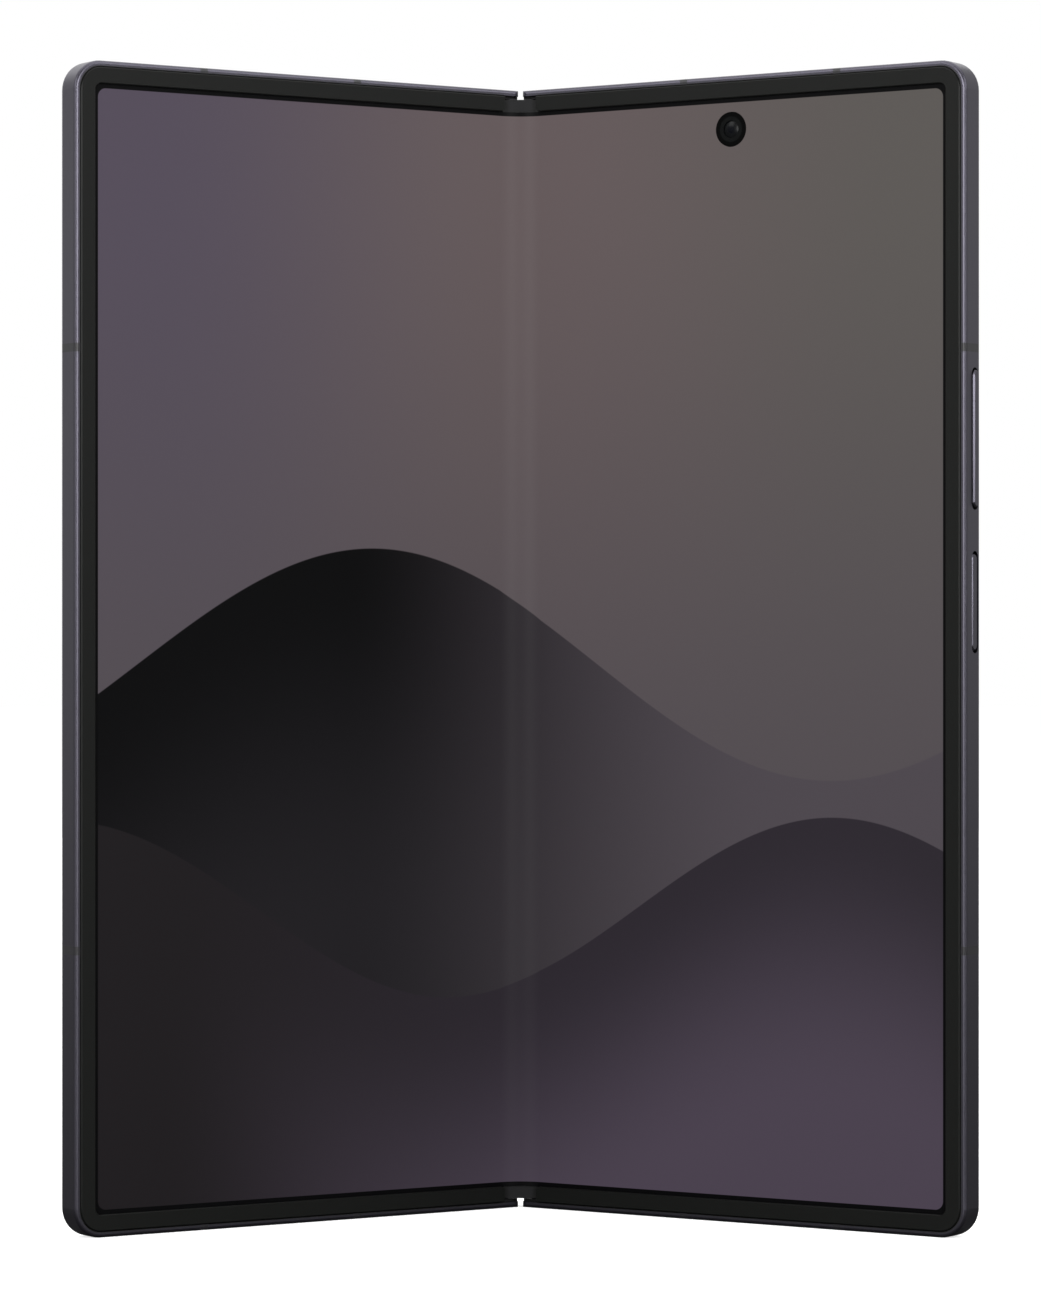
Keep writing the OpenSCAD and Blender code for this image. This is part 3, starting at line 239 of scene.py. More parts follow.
def anodised_aluminium(name):
    """Bead-blasted aluminium scatters light softly; the dye is in the oxide, so the metal itself
    looks dark. The blast grain of 0.05 mm is drawn at 0.25 mm, to show."""
    metal, tree, shader = material(name, "#57555E", {"Metallic": 1.0})
    shade = speckle(tree, shader, grain_mm=0.25, colours=("#504E57", "#5D5B64"), roughness=(0.32, 0.4),
                    bump_mm=0.0006)
    return metal, tree, shader, shade


def folded(side, along, depth, up):
    """Points of a flat half (distance from the hinge line, depth under the rim and height over the
    middle, in mm) in the folded phone, in metres: turned about the half's fold axis."""
    out, back = along - hinge_x, depth - pivot_depth
    x = hinge_x + out * np.cos(fold) + back * np.sin(fold)
    y = hinge_y - out * np.sin(fold) + back * np.cos(fold)
    return np.stack([side * x, y, mid_height + up], -1) / 1000


def flat_half(tree, side):
    """Places in a half before it is folded, in mm: along it from the hinge line, its depth under
    the front rim and the height over the middle. The folded place is moved to the fold axis,
    turned back and moved out again."""
    turned = folded(side, np.float64(0), 0.0, 0.0) * (side, 1, 1) * 1000
    back_turn = np.array([
        [np.cos(fold), -np.sin(fold), 0], [np.sin(fold), np.cos(fold), 0], [0, 0, 1],
    ])
    place = add(tree, "Mapping", add(tree, "TexCoord").outputs["Object"], sockets={
        "Scale": (1000 * side, 1000, 1000), "Rotation": (0, 0, fold), "Location": tuple(-back_turn @ turned),
    })
    return add(tree, "SeparateXYZ", place).outputs


def rounded_area(tree, across, up, half_wide, half_high, corner, soft):
    """1 on a rectangle with round corners and 0 outside: the distance past the corners' centres,
    stepped at the corner's radius over an edge of soft each way."""
    past = []
    for value, limit in ((across, half_wide), (up, half_high)):
        off = add(tree, "Math", value, operation="ABSOLUTE")
        off = add(tree, "Math", off, limit - corner, operation="SUBTRACT")
        past.append(add(tree, "Math", off, 0.0, operation="MAXIMUM"))
    reach = add(tree, "VectorMath", add(tree, "CombineXYZ", *past), operation="LENGTH")
    return add(tree, "MapRange", reach, corner + soft, corner - soft, interpolation_type="SMOOTHSTEP")


# The seat inside the rim is painted black, a little way over the rim's inner edge: partly black paint in
# the seat, partly painted shade that stands in for the dark gap between rim and bezel. Beside the
# hinge, where the bezel ends, the paint stays under the edge, as painted shade in the gap by the end cap.
# Each pair of places is where the paint is gone and where it is whole.
paint_over = 0.1
paint_soft = 0.02
paint_under_edge = (0.08, 0.16)
paint_from_hinge = (3.1, 3.3)
paint_on_seat = (seat_depth + 0.1, seat_depth + 0.05)
for side, half in sides:
    frame_metal, tree, shader, shade = anodised_aluminium(f"anodised_aluminium_{half}")
    flat = flat_half(tree, side)
    seat_paint_and_gap_shade = rounded_area(tree, flat["X"], flat["Z"], half_width - rim_width + paint_over,
                        half_height - rim_width + paint_over, corner_radius - rim_width, paint_soft)
    below = add(tree, "MapRange", flat["Y"], *paint_under_edge, interpolation_type="SMOOTHSTEP")
    away = add(tree, "MapRange", flat["X"], *paint_from_hinge, interpolation_type="SMOOTHSTEP")
    seat_paint_and_gap_shade = add(tree, "Math", seat_paint_and_gap_shade, add(tree, "Math", below, away, operation="MAXIMUM"), operation="MULTIPLY")
    above = add(tree, "MapRange", flat["Y"], *paint_on_seat, interpolation_type="SMOOTHSTEP")
    seat_paint_and_gap_shade = add(tree, "Math", seat_paint_and_gap_shade, above, operation="MULTIPLY")
    # Black seat paint and painted gap shade, laid over the anodised colour.
    feed(shader.inputs["Base Color"], add(tree, "Mix", seat_paint_and_gap_shade, shade, "#060606", data_type="RGBA"))
    feed(shader.inputs["Metallic"], add(tree, "Math", 1.0, seat_paint_and_gap_shade, operation="SUBTRACT"))
    dress(frame_metal, f"{half}_frame")

anodised = anodised_aluminium("anodised_aluminium")[0]
dress(anodised, "sim_tray", "camera_island")


# ---- Antenna bands ------------------------------------------------------------------
# The walls of each half are cut through at six places and the cuts are filled with moulded
# nylon, dyed so dark that its gloss makes it look like a darker shade of the metal.
nylon, tree, shader = material("moulded_nylon", "#17161A", {"IOR": 1.53})
speckle(tree, shader, grain_mm=0.3, colours=("#151418", "#19181C"), roughness=(0.36, 0.44), bump_mm=0.001)
dress(nylon, "left_antenna_bands", "right_antenna_bands")


# ---- Bezels -------------------------------------------------------------------------
# A thin raised strip of black polycarbonate, moulded against spark-eroded steel, is glued round
# each half of the inner display and covers its edge. Its grain of 0.1 mm is drawn at 0.2 mm; it
# breaks up reflections, so that the strip looks flat and nearly black.
bezel_plastic, tree, shader = material("textured_polycarbonate", "#161716", {
    "IOR": 1.58, "Specular IOR Level": 0.14,
})
speckle(tree, shader, grain_mm=0.2, colours=("#0C0D0C", "#10110F"), roughness=(0.36, 0.44), bump_mm=0.002)
dress(bezel_plastic, "left_bezel", "right_bezel")


# ---- Folding display ----------------------------------------------------------------
# One sheet of plastic-covered OLED on a thin metal carrier lies flat on both halves and
# rounds the hinge in a shallow arc. It is made as two sheets that meet at the hinge line,
# and each bends where its half turns about the spine.
screen_depth = 0.25
screen_thickness = 0.5
bend_length = 3.7
screen_length = 69.0
screen_top = 76.6
bend_top = 76.05
screen_corner = 1.4
camera_along, camera_up, camera_hole = 34.9, 71.8, 2.45
camera_block = 4.0
block_along = (camera_along - camera_block, camera_along + camera_block)
block_up = (camera_up - camera_block, camera_up + camera_block)
bend_lines, plain_lines, block_lines, corner_lines = 25, 14, 13, 9
rows_below, hole_rings = 32, 4
uv_unit = 100.0


def bent(side, along, depth, up):
    """Points of the display: along its length first an arc about a line in front of the hinge,
    from the middle to where it meets the half's plane, then the half's own plane."""
    end = folded(1, np.float64(bend_length), screen_depth, 0.0) * 1000
    radius = end[0] / np.sin(fold)
    centre_y = end[1] - radius * np.cos(fold)
    turn = fold * np.minimum(along / bend_length, 1)
    x = (radius + depth - screen_depth) * np.sin(turn)
    y = centre_y + (radius + depth - screen_depth) * np.cos(turn)
    arc = np.stack([side * x, y, mid_height + up], -1) / 1000
    return np.where((along < bend_length)[..., None], arc, folded(side, along, depth, up))


def mesh_object(name, points, faces, finish, sharp_deg=30):
    """An object from an array of points and a list of faces, with its doubles merged and its faces
    turned outward. It is shaded smooth, apart from edges that turn by more than sharp_deg."""
    data = bpy.data.meshes.new(name)
    data.from_pydata(points.tolist(), [], faces)
    work = bmesh.new()
    work.from_mesh(data)
    bmesh.ops.remove_doubles(work, verts=work.verts, dist=1e-7)
    bmesh.ops.recalc_face_normals(work, faces=work.faces)
    work.to_mesh(data)
    work.free()
    data.shade_smooth()
    data.set_sharp_from_angle(angle=radians(sharp_deg))
    data.materials.append(finish)
    made = bpy.data.objects.new(name, data)
    scene.collection.objects.link(made)
    return made


def grid_faces(index):
    """Quads of a grid of point numbers: the four corners of each cell in turn."""
    quads = np.stack([index[:-1, :-1], index[1:, :-1], index[1:, 1:], index[:-1, 1:]], -1)
    return quads.reshape(-1, 4)


def display_lines():
    """Lines of the flat display's grid: the places along it, the edge's height at each, and the
    rows as shares of that height. The edge steps up past the bend and rounds at the corner."""
    corner_start = screen_length - screen_corner
    # Two stretches share the line where they meet: rounding makes it equal, and one is kept.
    along = np.unique(np.concatenate([
        np.linspace(0, bend_length, bend_lines),
        np.linspace(bend_length, block_along[0], plain_lines),
        np.linspace(*block_along, block_lines),
        np.linspace(block_along[1], corner_start, plain_lines),
        screen_length - screen_corner * (1 - np.sin(np.linspace(0, np.pi / 2, corner_lines))),
    ]).round(6))
    in_corner = np.maximum(along - corner_start, 0)
    top = screen_top - screen_corner + np.sqrt(np.maximum(screen_corner ** 2 - in_corner ** 2, 0))
    top = np.where(along <= bend_length, bend_top, top)
    below = np.linspace(-1, block_up[0] / screen_top, rows_below)
    beside = np.linspace(*block_up, block_lines) / screen_top
    rows = np.unique(np.concatenate([below, beside, [1.0]]).round(9))
    return along, top, rows


def camera_cut(points, index, columns, rows):
    """Swaps the cells between two columns and two rows for rings of quads round the camera: each
    lies a step further on the straight lines from the cells' outline to the camera's circle."""
    (left, right), (low, high) = columns, rows
    quads = grid_faces(index).reshape(index.shape[0] - 1, index.shape[1] - 1, 4)
    keep = np.ones(quads.shape[:2], bool)
    keep[left:right, low:high] = False
    outline = np.concatenate([
        index[left:right, low], index[right, low:high], index[right:left:-1, high], index[left, high:low:-1],
    ])
    centre = np.array([camera_along, camera_up])
    out = points[outline] - centre
    circle = camera_hole * out / np.linalg.norm(out, axis=1)[:, None]
    steps = np.linspace(0, 1, hole_rings + 1)[1:, None, None]
    rings = centre + (1 - steps) * out + steps * circle
    ring_index = len(points) + np.arange(rings[..., 0].size).reshape(rings.shape[:2])
    ring_index = np.concatenate([outline[None], ring_index])
    ring_index = np.concatenate([ring_index, ring_index[:, :1]], 1)
    points = np.concatenate([points, rings.reshape(-1, 2)])
    return points, np.concatenate([quads[keep], grid_faces(ring_index)])


def display_plan(hole):
    """The flat display's points (along, up) and quads: a grid whose rows spread to the edge's
    height, with or without the camera's hole."""
    along, top, rows = display_lines()
    points = np.stack(np.broadcast_arrays(along[:, None], top[:, None] * rows), -1)
    index = np.arange(points[..., 0].size).reshape(points.shape[:2])
    points = points.reshape(-1, 2)
    if not hole:
        return points, grid_faces(index)
    block_columns = [np.abs(along - place).argmin() for place in block_along]
    block_rows = [np.abs(rows - place / screen_top).argmin() for place in block_up]
    return camera_cut(points, index, block_columns, block_rows)


def slab(name, side, plan, quads, depth, thickness, finish):
    """A bent sheet with thickness: the plan at its front depth and again at its back depth, with a
    wall along every edge that only one quad uses."""
    count = len(plan)
    front = bent(side, plan[:, 0], depth, plan[:, 1])
    back = bent(side, plan[:, 0], depth + thickness, plan[:, 1])
    edges = np.concatenate([quads[:, [k, (k + 1) % 4]] for k in range(4)])
    first, uses = np.unique(np.sort(edges, 1), axis=0, return_index=True, return_counts=True)[1:]
    rim = edges[first[uses == 1]]
    walls = np.stack([rim[:, 0], rim[:, 1], rim[:, 1] + count, rim[:, 0] + count], -1)
    faces = np.concatenate([quads, quads[:, ::-1] + count, walls[:, ::-1]])
    return mesh_object(name, np.concatenate([front, back]), faces.tolist(), finish, sharp_deg=40)


def unfolded_map(made, side, plan):
    """A UV map that follows the sheet: u across the whole open display and v up it, both in
    tenths of a metre."""
    flat = np.concatenate([plan, plan])
    loops = np.empty(len(made.data.loops), int)
    made.data.loops.foreach_get("vertex_index", loops)
    uv = np.stack([side * flat[:, 0], flat[:, 1]], -1) / uv_unit
    layer = made.data.uv_layers.new(name="unfolded")
    layer.data.foreach_set("uv", uv[loops].ravel().astype(np.float32))


def faded(tree, value, start, end, first, second):
    """The first colour up to start and the second from end on, with a smooth step between."""
    step = add(tree, "MapRange", value, start, end, interpolation_type="SMOOTHSTEP")
    return add(tree, "Mix", step, first, second, data_type="RGBA")


def under_crest(tree, across, up, height, swing, pace, start):
    """How far a point lies under a dune's crest: the crest's height is a sine of the place across."""
    wave = add(tree, "Math", across, pace, start, operation="MULTIPLY_ADD")
    wave = add(tree, "Math", wave, operation="SINE")
    crest = add(tree, "Math", wave, swing, height, operation="MULTIPLY_ADD")
    return add(tree, "Math", crest, up, operation="SUBTRACT")


# The lit picture is a plain one: a pale haze over two long dunes, placed in tenths of a metre.
# It glows from under a matt plastic film with an anti-reflection layer, so its specular is low.
lit_length, lit_half_height, lit_corner, lit_soft = 68.0, 75.475, 1.2, 0.025
haze_left, haze_right, haze_up = (-0.62, 0.0), (0.05, 0.65), (0.7, -0.3)
far_slope, far_light = (0.0, 0.55), (-0.3, 0.45)
near_slope, near_shade = (0.0, 0.4), (0.1, -0.6)
crest_edge = (-0.001, 0.001)
film_tint = 0.1
picture, tree, shader = material("folding_oled", "#050506", {
    "IOR": 1.15, "Roughness": 0.45, "Emission Strength": 0.85,
})
place = add(tree, "SeparateXYZ", add(tree, "UVMap", uv_map="unfolded")).outputs
across, up = place["X"], place["Y"]
haze = faded(tree, across, *haze_left, "#544C59", "#64595A")
haze = faded(tree, across, *haze_right, haze, "#5C5855")
haze = faded(tree, up, *haze_up, haze, "#524C50")
far_dune = under_crest(tree, across, up, height=-0.02, swing=0.16, pace=4.2, start=2.6)
far_colour = faded(tree, far_dune, *far_slope, "#030303", "#1F1D20")
far_colour = faded(tree, across, *far_light, far_colour, "#4D474D")
near_dune = under_crest(tree, across, up, height=-0.36, swing=0.13, pace=5.0, start=-1.0)
near_colour = faded(tree, near_dune, *near_slope, "#2C272E", "#4A414E")
near_colour = faded(tree, across, *near_shade, near_colour, "#1D1A1C")
shown = faded(tree, far_dune, *crest_edge, haze, far_colour)
shown = faded(tree, near_dune, *crest_edge, shown, near_colour)
lit = rounded_area(tree, across, up, lit_length / uv_unit, lit_half_height / uv_unit,
                   lit_corner / uv_unit, lit_soft / uv_unit)
shown = add(tree, "Mix", lit, "#000000", shown, data_type="RGBA")
feed(shader.inputs["Emission Color"], shown)
feed(shader.inputs["Base Color"], add(tree, "Mix", film_tint, "#040405", shown, data_type="RGBA"))


def bend_over_hinge(made, side):
    """Bakes a sheet's placement into its mesh; both sides do the same."""
    if side < 0:
        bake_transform(made)
    else:
        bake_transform(made)


for side, half in sides:
    plan, quads = display_plan(hole=side > 0)
    sheet = slab(f"folding_display_{half}", side, plan, quads, screen_depth, screen_thickness, picture)
    unfolded_map(sheet, side, plan)
    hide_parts(f"display_panel_{half}")
    bend_over_hinge(sheet, side)
    if side < 0:
        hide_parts("display_bend")


# ---- Volume and side keys -----------------------------------------------------------
# Both are milled from the frame's stock and anodised with it: a long round-ended body with a
# bevel round its face, on a wider flange that keeps it in the wall. Small posts behind the
# flange press the key's domes.
key_depth = 2.6
key_width = 1.6
key_play = 0.05
key_short = 0.22
key_bevel = 0.2
flange_back, flange_front, flange_out = -2.0, -1.5, 0.8
post_radius, post_length = 0.5, 0.6


def pills(up, sections, steps=24):
    """A closed shell of round-ended outlines, one per section. Each section gives how far it lies
    outside the half's edge, half its width and half the length of its straight sides: a half
    circle at each end, moved apart along the half by the straight sides."""
    out, half_wide, straight = np.array(sections).T[:, :, None]
    turn = np.concatenate([np.linspace(0, np.pi, steps), np.linspace(np.pi, 2 * np.pi, steps)])
    way = np.repeat([1.0, -1.0], steps)
    depth = key_depth + half_wide * np.cos(turn)
    rise = up + half_wide * np.sin(turn) + straight * way
    return folded(1, np.broadcast_to(half_width + out, rise.shape), depth, rise)


def key(name, body, up, length, stand_out, post_places):
    """A key's body, flange and bevelled face in one shell, and a round post at each post place."""
    half_wide, straight = key_width / 2, (length - key_width) / 2
    narrow, short = half_wide - key_play, straight - key_short
    shells = [pills(up, [
        (flange_back, 0, straight + flange_out), (flange_back, half_wide, straight + flange_out),
        (flange_front, half_wide, straight + flange_out), (flange_front, narrow, short),
        (stand_out - key_bevel, narrow, short), (stand_out, narrow - key_bevel, short), (stand_out, 0, short),
    ])]
    for place in post_places:
        shells.append(pills(up + place, [
            (flange_back - post_length, 0, 0), (flange_back - post_length, post_radius, 0),
            (flange_back, post_radius, 0), (flange_back, 0, 0),
        ]))
    points, faces, count = [], [], 0
    for shell in shells:
        index = count + np.arange(shell[..., 0].size).reshape(shell.shape[:2])
        faces.append(grid_faces(np.concatenate([index, index[:, :1]], 1)))
        points.append(shell.reshape(-1, 3))
        count += index.size
    made = mesh_object(name, np.concatenate(points), np.concatenate(faces).tolist(), anodised)
    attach(made, body)
    return made


volume_key = key("volume_rocker_key", "volume_rocker", up=28.3, length=19.0, stand_out=0.3,
                 post_places=(-6, 6))
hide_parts("volume_key")
side_key = key("side_button_key", "side_button", up=6.3, length=13.6, stand_out=0.0, post_places=(0,))
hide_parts("side_key")


# ---- Display carriers ---------------------------------------------------------------
# Behind the display lies a thin stainless sheet on each half, rolled, then glued to the
# frame's seat.
def brushed(name, colours, roughness, grain_mm):
    """Bare metal with fine lines up the phone, as rolling or grinding leaves them: they draw its
    reflections out sideways. Each line is 30 times as long as it is wide."""
    metal, tree, shader = material(name, colours[0], {"Metallic": 1.0})
    speckle(tree, shader, grain_mm, colours, roughness, bump_mm=0.001, stretch=(1, 1, 30))
    return metal


rolled = brushed("rolled_stainless", ("#7A7A7C", "#8C8C8E"), roughness=(0.28, 0.4), grain_mm=0.15)
dress(rolled, "display_plate_left", "display_plate_right")


# ---- Spine cover and end caps -------------------------------------------------------
# The hinge is closed from behind by a bent aluminium cover, anodised like the frames. Two
# small caps of glass-filled nylon close its ends and show between the bezels. Their sides are
# painted darker, as painted shade where they dip into the gaps.
dress(anodised, "hinge_cover")

# The fibres come up to the moulded skin, so the nylon looks dull and faintly streaked.
cap_shade_from, cap_shade_at = 1.6, 2.1
cap_nylon, tree, shader = material("glass_filled_nylon", "#111113", {"IOR": 1.53, "Specular IOR Level": 0.2})
shade = speckle(tree, shader, grain_mm=0.15, colours=("#0B0B0D", "#131315"), roughness=(0.4, 0.6),
                bump_mm=0.003, stretch=(1, 1, 3))
place = add(tree, "SeparateXYZ", add(tree, "TexCoord").outputs["Object"]).outputs
off_middle = add(tree, "Math", place["X"], operation="ABSOLUTE")
# Painted shade: the caps turn nearly black towards their sides, beside the bezels' ends.
shade = faded(tree, off_middle, cap_shade_from / 1000, cap_shade_at / 1000, shade, "#010101")
feed(shader.inputs["Base Color"], shade)
dress(cap_nylon, "hinge_end_caps")


# ---- Hinge mechanism ----------------------------------------------------------------
# The housings, arms, gears, cams and brackets are metal-injection moulded steel, sintered
# and tumbled to an even grey. The shafts and the stiffening strip are ground bright, and the
# spring washers keep the brown oxide of their heat treatment.
sintered, tree, shader = material("sintered_steel", "#87868A", {"Metallic": 1.0})
speckle(tree, shader, grain_mm=0.12, colours=("#7B7A7E", "#929195"), roughness=(0.34, 0.5), bump_mm=0.002)
dress(sintered, "hinge_housings", "cam_followers", "left_sync_arms", "right_sync_arms", "left_idler_gears",
      "right_idler_gears", "left_hinge_brackets", "right_hinge_brackets")

ground = brushed("ground_steel", ("#A3A4A8", "#B4B5B9"), roughness=(0.16, 0.26), grain_mm=0.06)
dress(ground, "gear_shafts", "cover_stiffener")

spring_steel, tree, shader = material("heat_treated_spring_steel", "#6B5F55", {"Metallic": 1.0})
speckle(tree, shader, grain_mm=0.5, colours=("#5A5150", "#7A6A55"), roughness=(0.25, 0.38), bump_mm=0.0005)
dress(spring_steel, "torque_springs")


# ---- Screws and closing magnets -----------------------------------------------------
# Small machine screws of nickel-plated steel, and bar magnets in the same plating. Nickel is
# smooth and bright, a little warmer than steel.
nickel, tree, shader = material("nickel_plating", "#B9B4A6", {"Metallic": 1.0})
speckle(tree, shader, grain_mm=0.4, colours=("#B2AD9F", "#C0BBAD"), roughness=(0.14, 0.24), bump_mm=0.0006)
dress(nickel, "housing_screws", "left_bracket_screws", "right_bracket_screws", "left_board_screws",
      "right_board_screws", "closing_magnets_left", "closing_magnets_right")


# ---- Flex cables --------------------------------------------------------------------
# Two polyimide ribbons with etched copper tracks under a black coverlay cross the hinge
# behind the display, with slack for the fold. Each is made as two strips that meet on the
# hinge line. They go on into both halves and end in moulded connectors.
cable_depth = 2.45
cable_thickness = 0.12
cable_width = 12.0
cable_offset = 14.0
cable_reach = 3.6
cable_lines, cable_rows = 25, 13
track_pitch = 0.5
track_width = 0.26
track_rise = 0.01


def stripes(tree, value, pitch, width, soft=0.02):
    """1 on lines of the given width that repeat at a pitch, and 0 between them."""
    off = add(tree, "Math", value, pitch / 2, -pitch / 2, operation="WRAP")
    off = add(tree, "Math", off, operation="ABSOLUTE")
    return add(tree, "MapRange", off, width / 2 + soft, width / 2 - soft, interpolation_type="SMOOTHSTEP")


def coverlay(name, roughness):
    """Black coverlay over polyimide: a nearly black brown with a soft gloss."""
    return material(name, "#171310", {"IOR": 1.7, "Roughness": roughness})


def copper_tracks(tree, shader, height):
    """Lines across the given height, in mm, where the coverlay stands up over the tracks and looks
    darker."""
    tracks = stripes(tree, height, track_pitch, track_width)
    bump = add(tree, "Bump", sockets={"Height": tracks, "Distance": track_rise / 1000})
    feed(shader.inputs["Base Color"], add(tree, "Mix", tracks, "#1E1814", "#0F0C0A", data_type="RGBA"))
    feed(shader.inputs["Normal"], bump)


cable, tree, shader = coverlay("polyimide_cable", 0.4)
place = add(tree, "SeparateXYZ", add(tree, "UVMap", uv_map="unfolded")).outputs
copper_tracks(tree, shader, add(tree, "Math", place["Y"], uv_unit, operation="MULTIPLY"))

along, share = np.meshgrid(np.linspace(0, cable_reach, cable_lines), np.linspace(-0.5, 0.5, cable_rows),
                           indexing="ij")
index = np.arange(along.size).reshape(along.shape)
ends = ((-1, "lower"), (1, "upper"))
for side, half in sides:
    for end, row in ends:
        plan = np.stack([along, end * cable_offset + cable_width * share], -1).reshape(-1, 2)
        strip = slab(f"flex_cable_{row}_{half}", side, plan, grid_faces(index), cable_depth,
                     cable_thickness, cable)
        unfolded_map(strip, side, plan)
        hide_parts("hinge_flex_cables")
        bend_over_hinge(strip, side)

ribbon, tree, shader = coverlay("polyimide_ribbon", 0.35)
place = add(tree, "SeparateXYZ", add(tree, "TexCoord").outputs["Object"]).outputs
copper_tracks(tree, shader, add(tree, "Math", place["Z"], 1000.0, operation="MULTIPLY"))
dress(ribbon, "left_flex_connectors", "right_flex_connectors")


# ---- Cover display ------------------------------------------------------------------
# The left half's back is one sheet of hardened glass, printed black from behind, so that it
# looks like a black mirror. The lit area of the panel under it shows as a slightly softer
# black, and the camera looks out through a clear hole in it.
glass_middle = 37.7
panel_half_wide, panel_half_high, panel_corner, panel_soft = 31.6, 76.9, 3.0, 0.1
eye_drop = 7.6
eye_soft = 0.03


def axis_distance(tree, flat, along, up, pitch=0.0):
    """Distance in mm from an axis straight through a flat half, or from the nearest of a row of
    them at a pitch up the half."""
    out = add(tree, "Math", flat["X"], along, operation="SUBTRACT")
    rise = add(tree, "Math", flat["Z"], up, operation="SUBTRACT")
    if pitch:
        rise = add(tree, "Math", rise, pitch / 2, -pitch / 2, operation="WRAP")
    return add(tree, "VectorMath", add(tree, "CombineXYZ", out, rise), operation="LENGTH")


def zones(tree, reach, shade, bands, soft):
    """Round colour zones about an axis, each laid over the last from its outer radius inward."""
    for radius, colour in bands:
        shade = faded(tree, reach, radius + soft, radius - soft, shade, colour)
    return shade


glass, tree, shader = material("hardened_glass", "#050506", {"IOR": 1.52, "Roughness": 0.04})
flat = flat_half(tree, -1)
off_middle = add(tree, "Math", flat["X"], glass_middle, operation="SUBTRACT")
lit = rounded_area(tree, off_middle, flat["Z"], panel_half_wide, panel_half_high, panel_corner, panel_soft)
shade = add(tree, "Mix", lit, "#030304", "#0A0A0C", data_type="RGBA")
eye = axis_distance(tree, flat, half_width / 2, half_height - eye_drop)
shade = zones(tree, eye, shade, (
    (1.95, "#010102"), (1.15, "#1A1B22"), (1.0, "#04050A"), (0.45, "#0D1030"),
), eye_soft)
feed(shader.inputs["Base Color"], shade)
dress(glass, "cover_glass")

# The panel's own back is a black polyester film, pressed on: it looks matt and slightly uneven.
panel, tree, shader = material("black_polyester_film", "#121214", {"IOR": 1.5})
speckle(tree, shader, grain_mm=1.5, colours=("#101012", "#161619"), roughness=(0.3, 0.4), bump_mm=0.001)
dress(panel, "cover_display_panel")


# ---- Back glass ---------------------------------------------------------------------
# The right half's back is hardened glass over a printed layer in the colour of the frame. Its
# outer face is etched, so it looks like soft satin. The etch is finer than the drawn grain.
etched, tree, shader = material("etched_glass", "#3B3A41", {"IOR": 1.52})
speckle(tree, shader, grain_mm=0.08, colours=("#38373E", "#3F3E45"), roughness=(0.3, 0.38), bump_mm=0.0008)
dress(etched, "back_glass")


# ---- Pocket corners -----------------------------------------------------------------
# Beside the hinge the frames' pockets for the two back panes have square corners. Small
# pieces of the same anodised aluminium fill them up to the panes' round corners.
pane_start = 4.6
pane_rim = 0.75
pane_depth = 3.6
pane_thickness = 0.6
pane_gap = 0.05
corner_reach = corner_radius - pane_rim + pane_gap
corner_steps = 24

# A strip of quads between the pocket's two straight sides and a quarter circle, step by step.
step = np.linspace(0, 1, corner_steps + 1)
square = corner_reach * np.stack([np.maximum(2 * step - 1, 0), np.minimum(2 * step, 1)], -1)
arc = corner_reach * np.stack([1 - np.cos(step * np.pi / 2), np.sin(step * np.pi / 2)], -1)
corner_place = np.array([pane_start, half_height - pane_rim - corner_reach])
plan = np.stack([square, arc], 1).reshape(-1, 2) + corner_place
index = np.arange(len(plan)).reshape(-1, 2)
for side, half in sides:
    for end, row in ends:
        fill = slab(f"pocket_corner_{row}_{half}", side, plan * (1, end), grid_faces(index), pane_depth,
                    pane_thickness, anodised)
        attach(fill, f"{half}_half")


# ---- Rear cameras -------------------------------------------------------------------
# Three cameras stand in a pill-shaped island. Each has a turned ring with fine grooves and
# a coated glass window with the stepped black barrel and the front lens behind it.
island_inset, island_drop = 14.3, 31.5
island_along, island_up = half_width - island_inset, half_height - island_drop
lens_pitch = 15.2
ring_top = 6.6
window_radius = 5.28
window_seat = 6.21
lens_radius = 2.45
lens_seat = 6.3
lens_rise = 0.24


def turned_about(name, sites, profile, finish, steps=96):
    """Closed rings and domes: a profile of (radius, depth) points, turned in steps about an axis
    through the right half at each (along, up) site. Its ends meet, or lie on the axis."""
    radius, depth = np.array(profile).T
    turn = np.linspace(0, 2 * np.pi, steps, endpoint=False)
    site_along, site_up = np.array(sites, float).T[:, :, None, None]
    along = site_along + np.cos(turn)[:, None] * radius
    up = site_up + np.sin(turn)[:, None] * radius
    points = folded(1, along, np.broadcast_to(depth, along.shape), up)
    index = np.arange(along.size).reshape(along.shape)
    index = np.concatenate([index, index[:, :1]], 1)
    faces = np.concatenate([grid_faces(ring) for ring in index])
    return mesh_object(name, points.reshape(-1, 3), faces.tolist(), finish)


def dome(radius, seat_paint_and_gap_shade, rise, points=10):
    """Profile of a lens from its rim inward to the axis: a circle's arc that rises by rise over its
    seat, away from the front, or towards it where rise is negative."""
    curve = (radius ** 2 + rise ** 2) / (2 * abs(rise))
    out = radius * np.cos(np.linspace(0, np.pi / 2, points))
    return np.stack([out, seat_paint_and_gap_shade + rise - np.sign(rise) * (curve - np.sqrt(curve ** 2 - out ** 2))], -1)


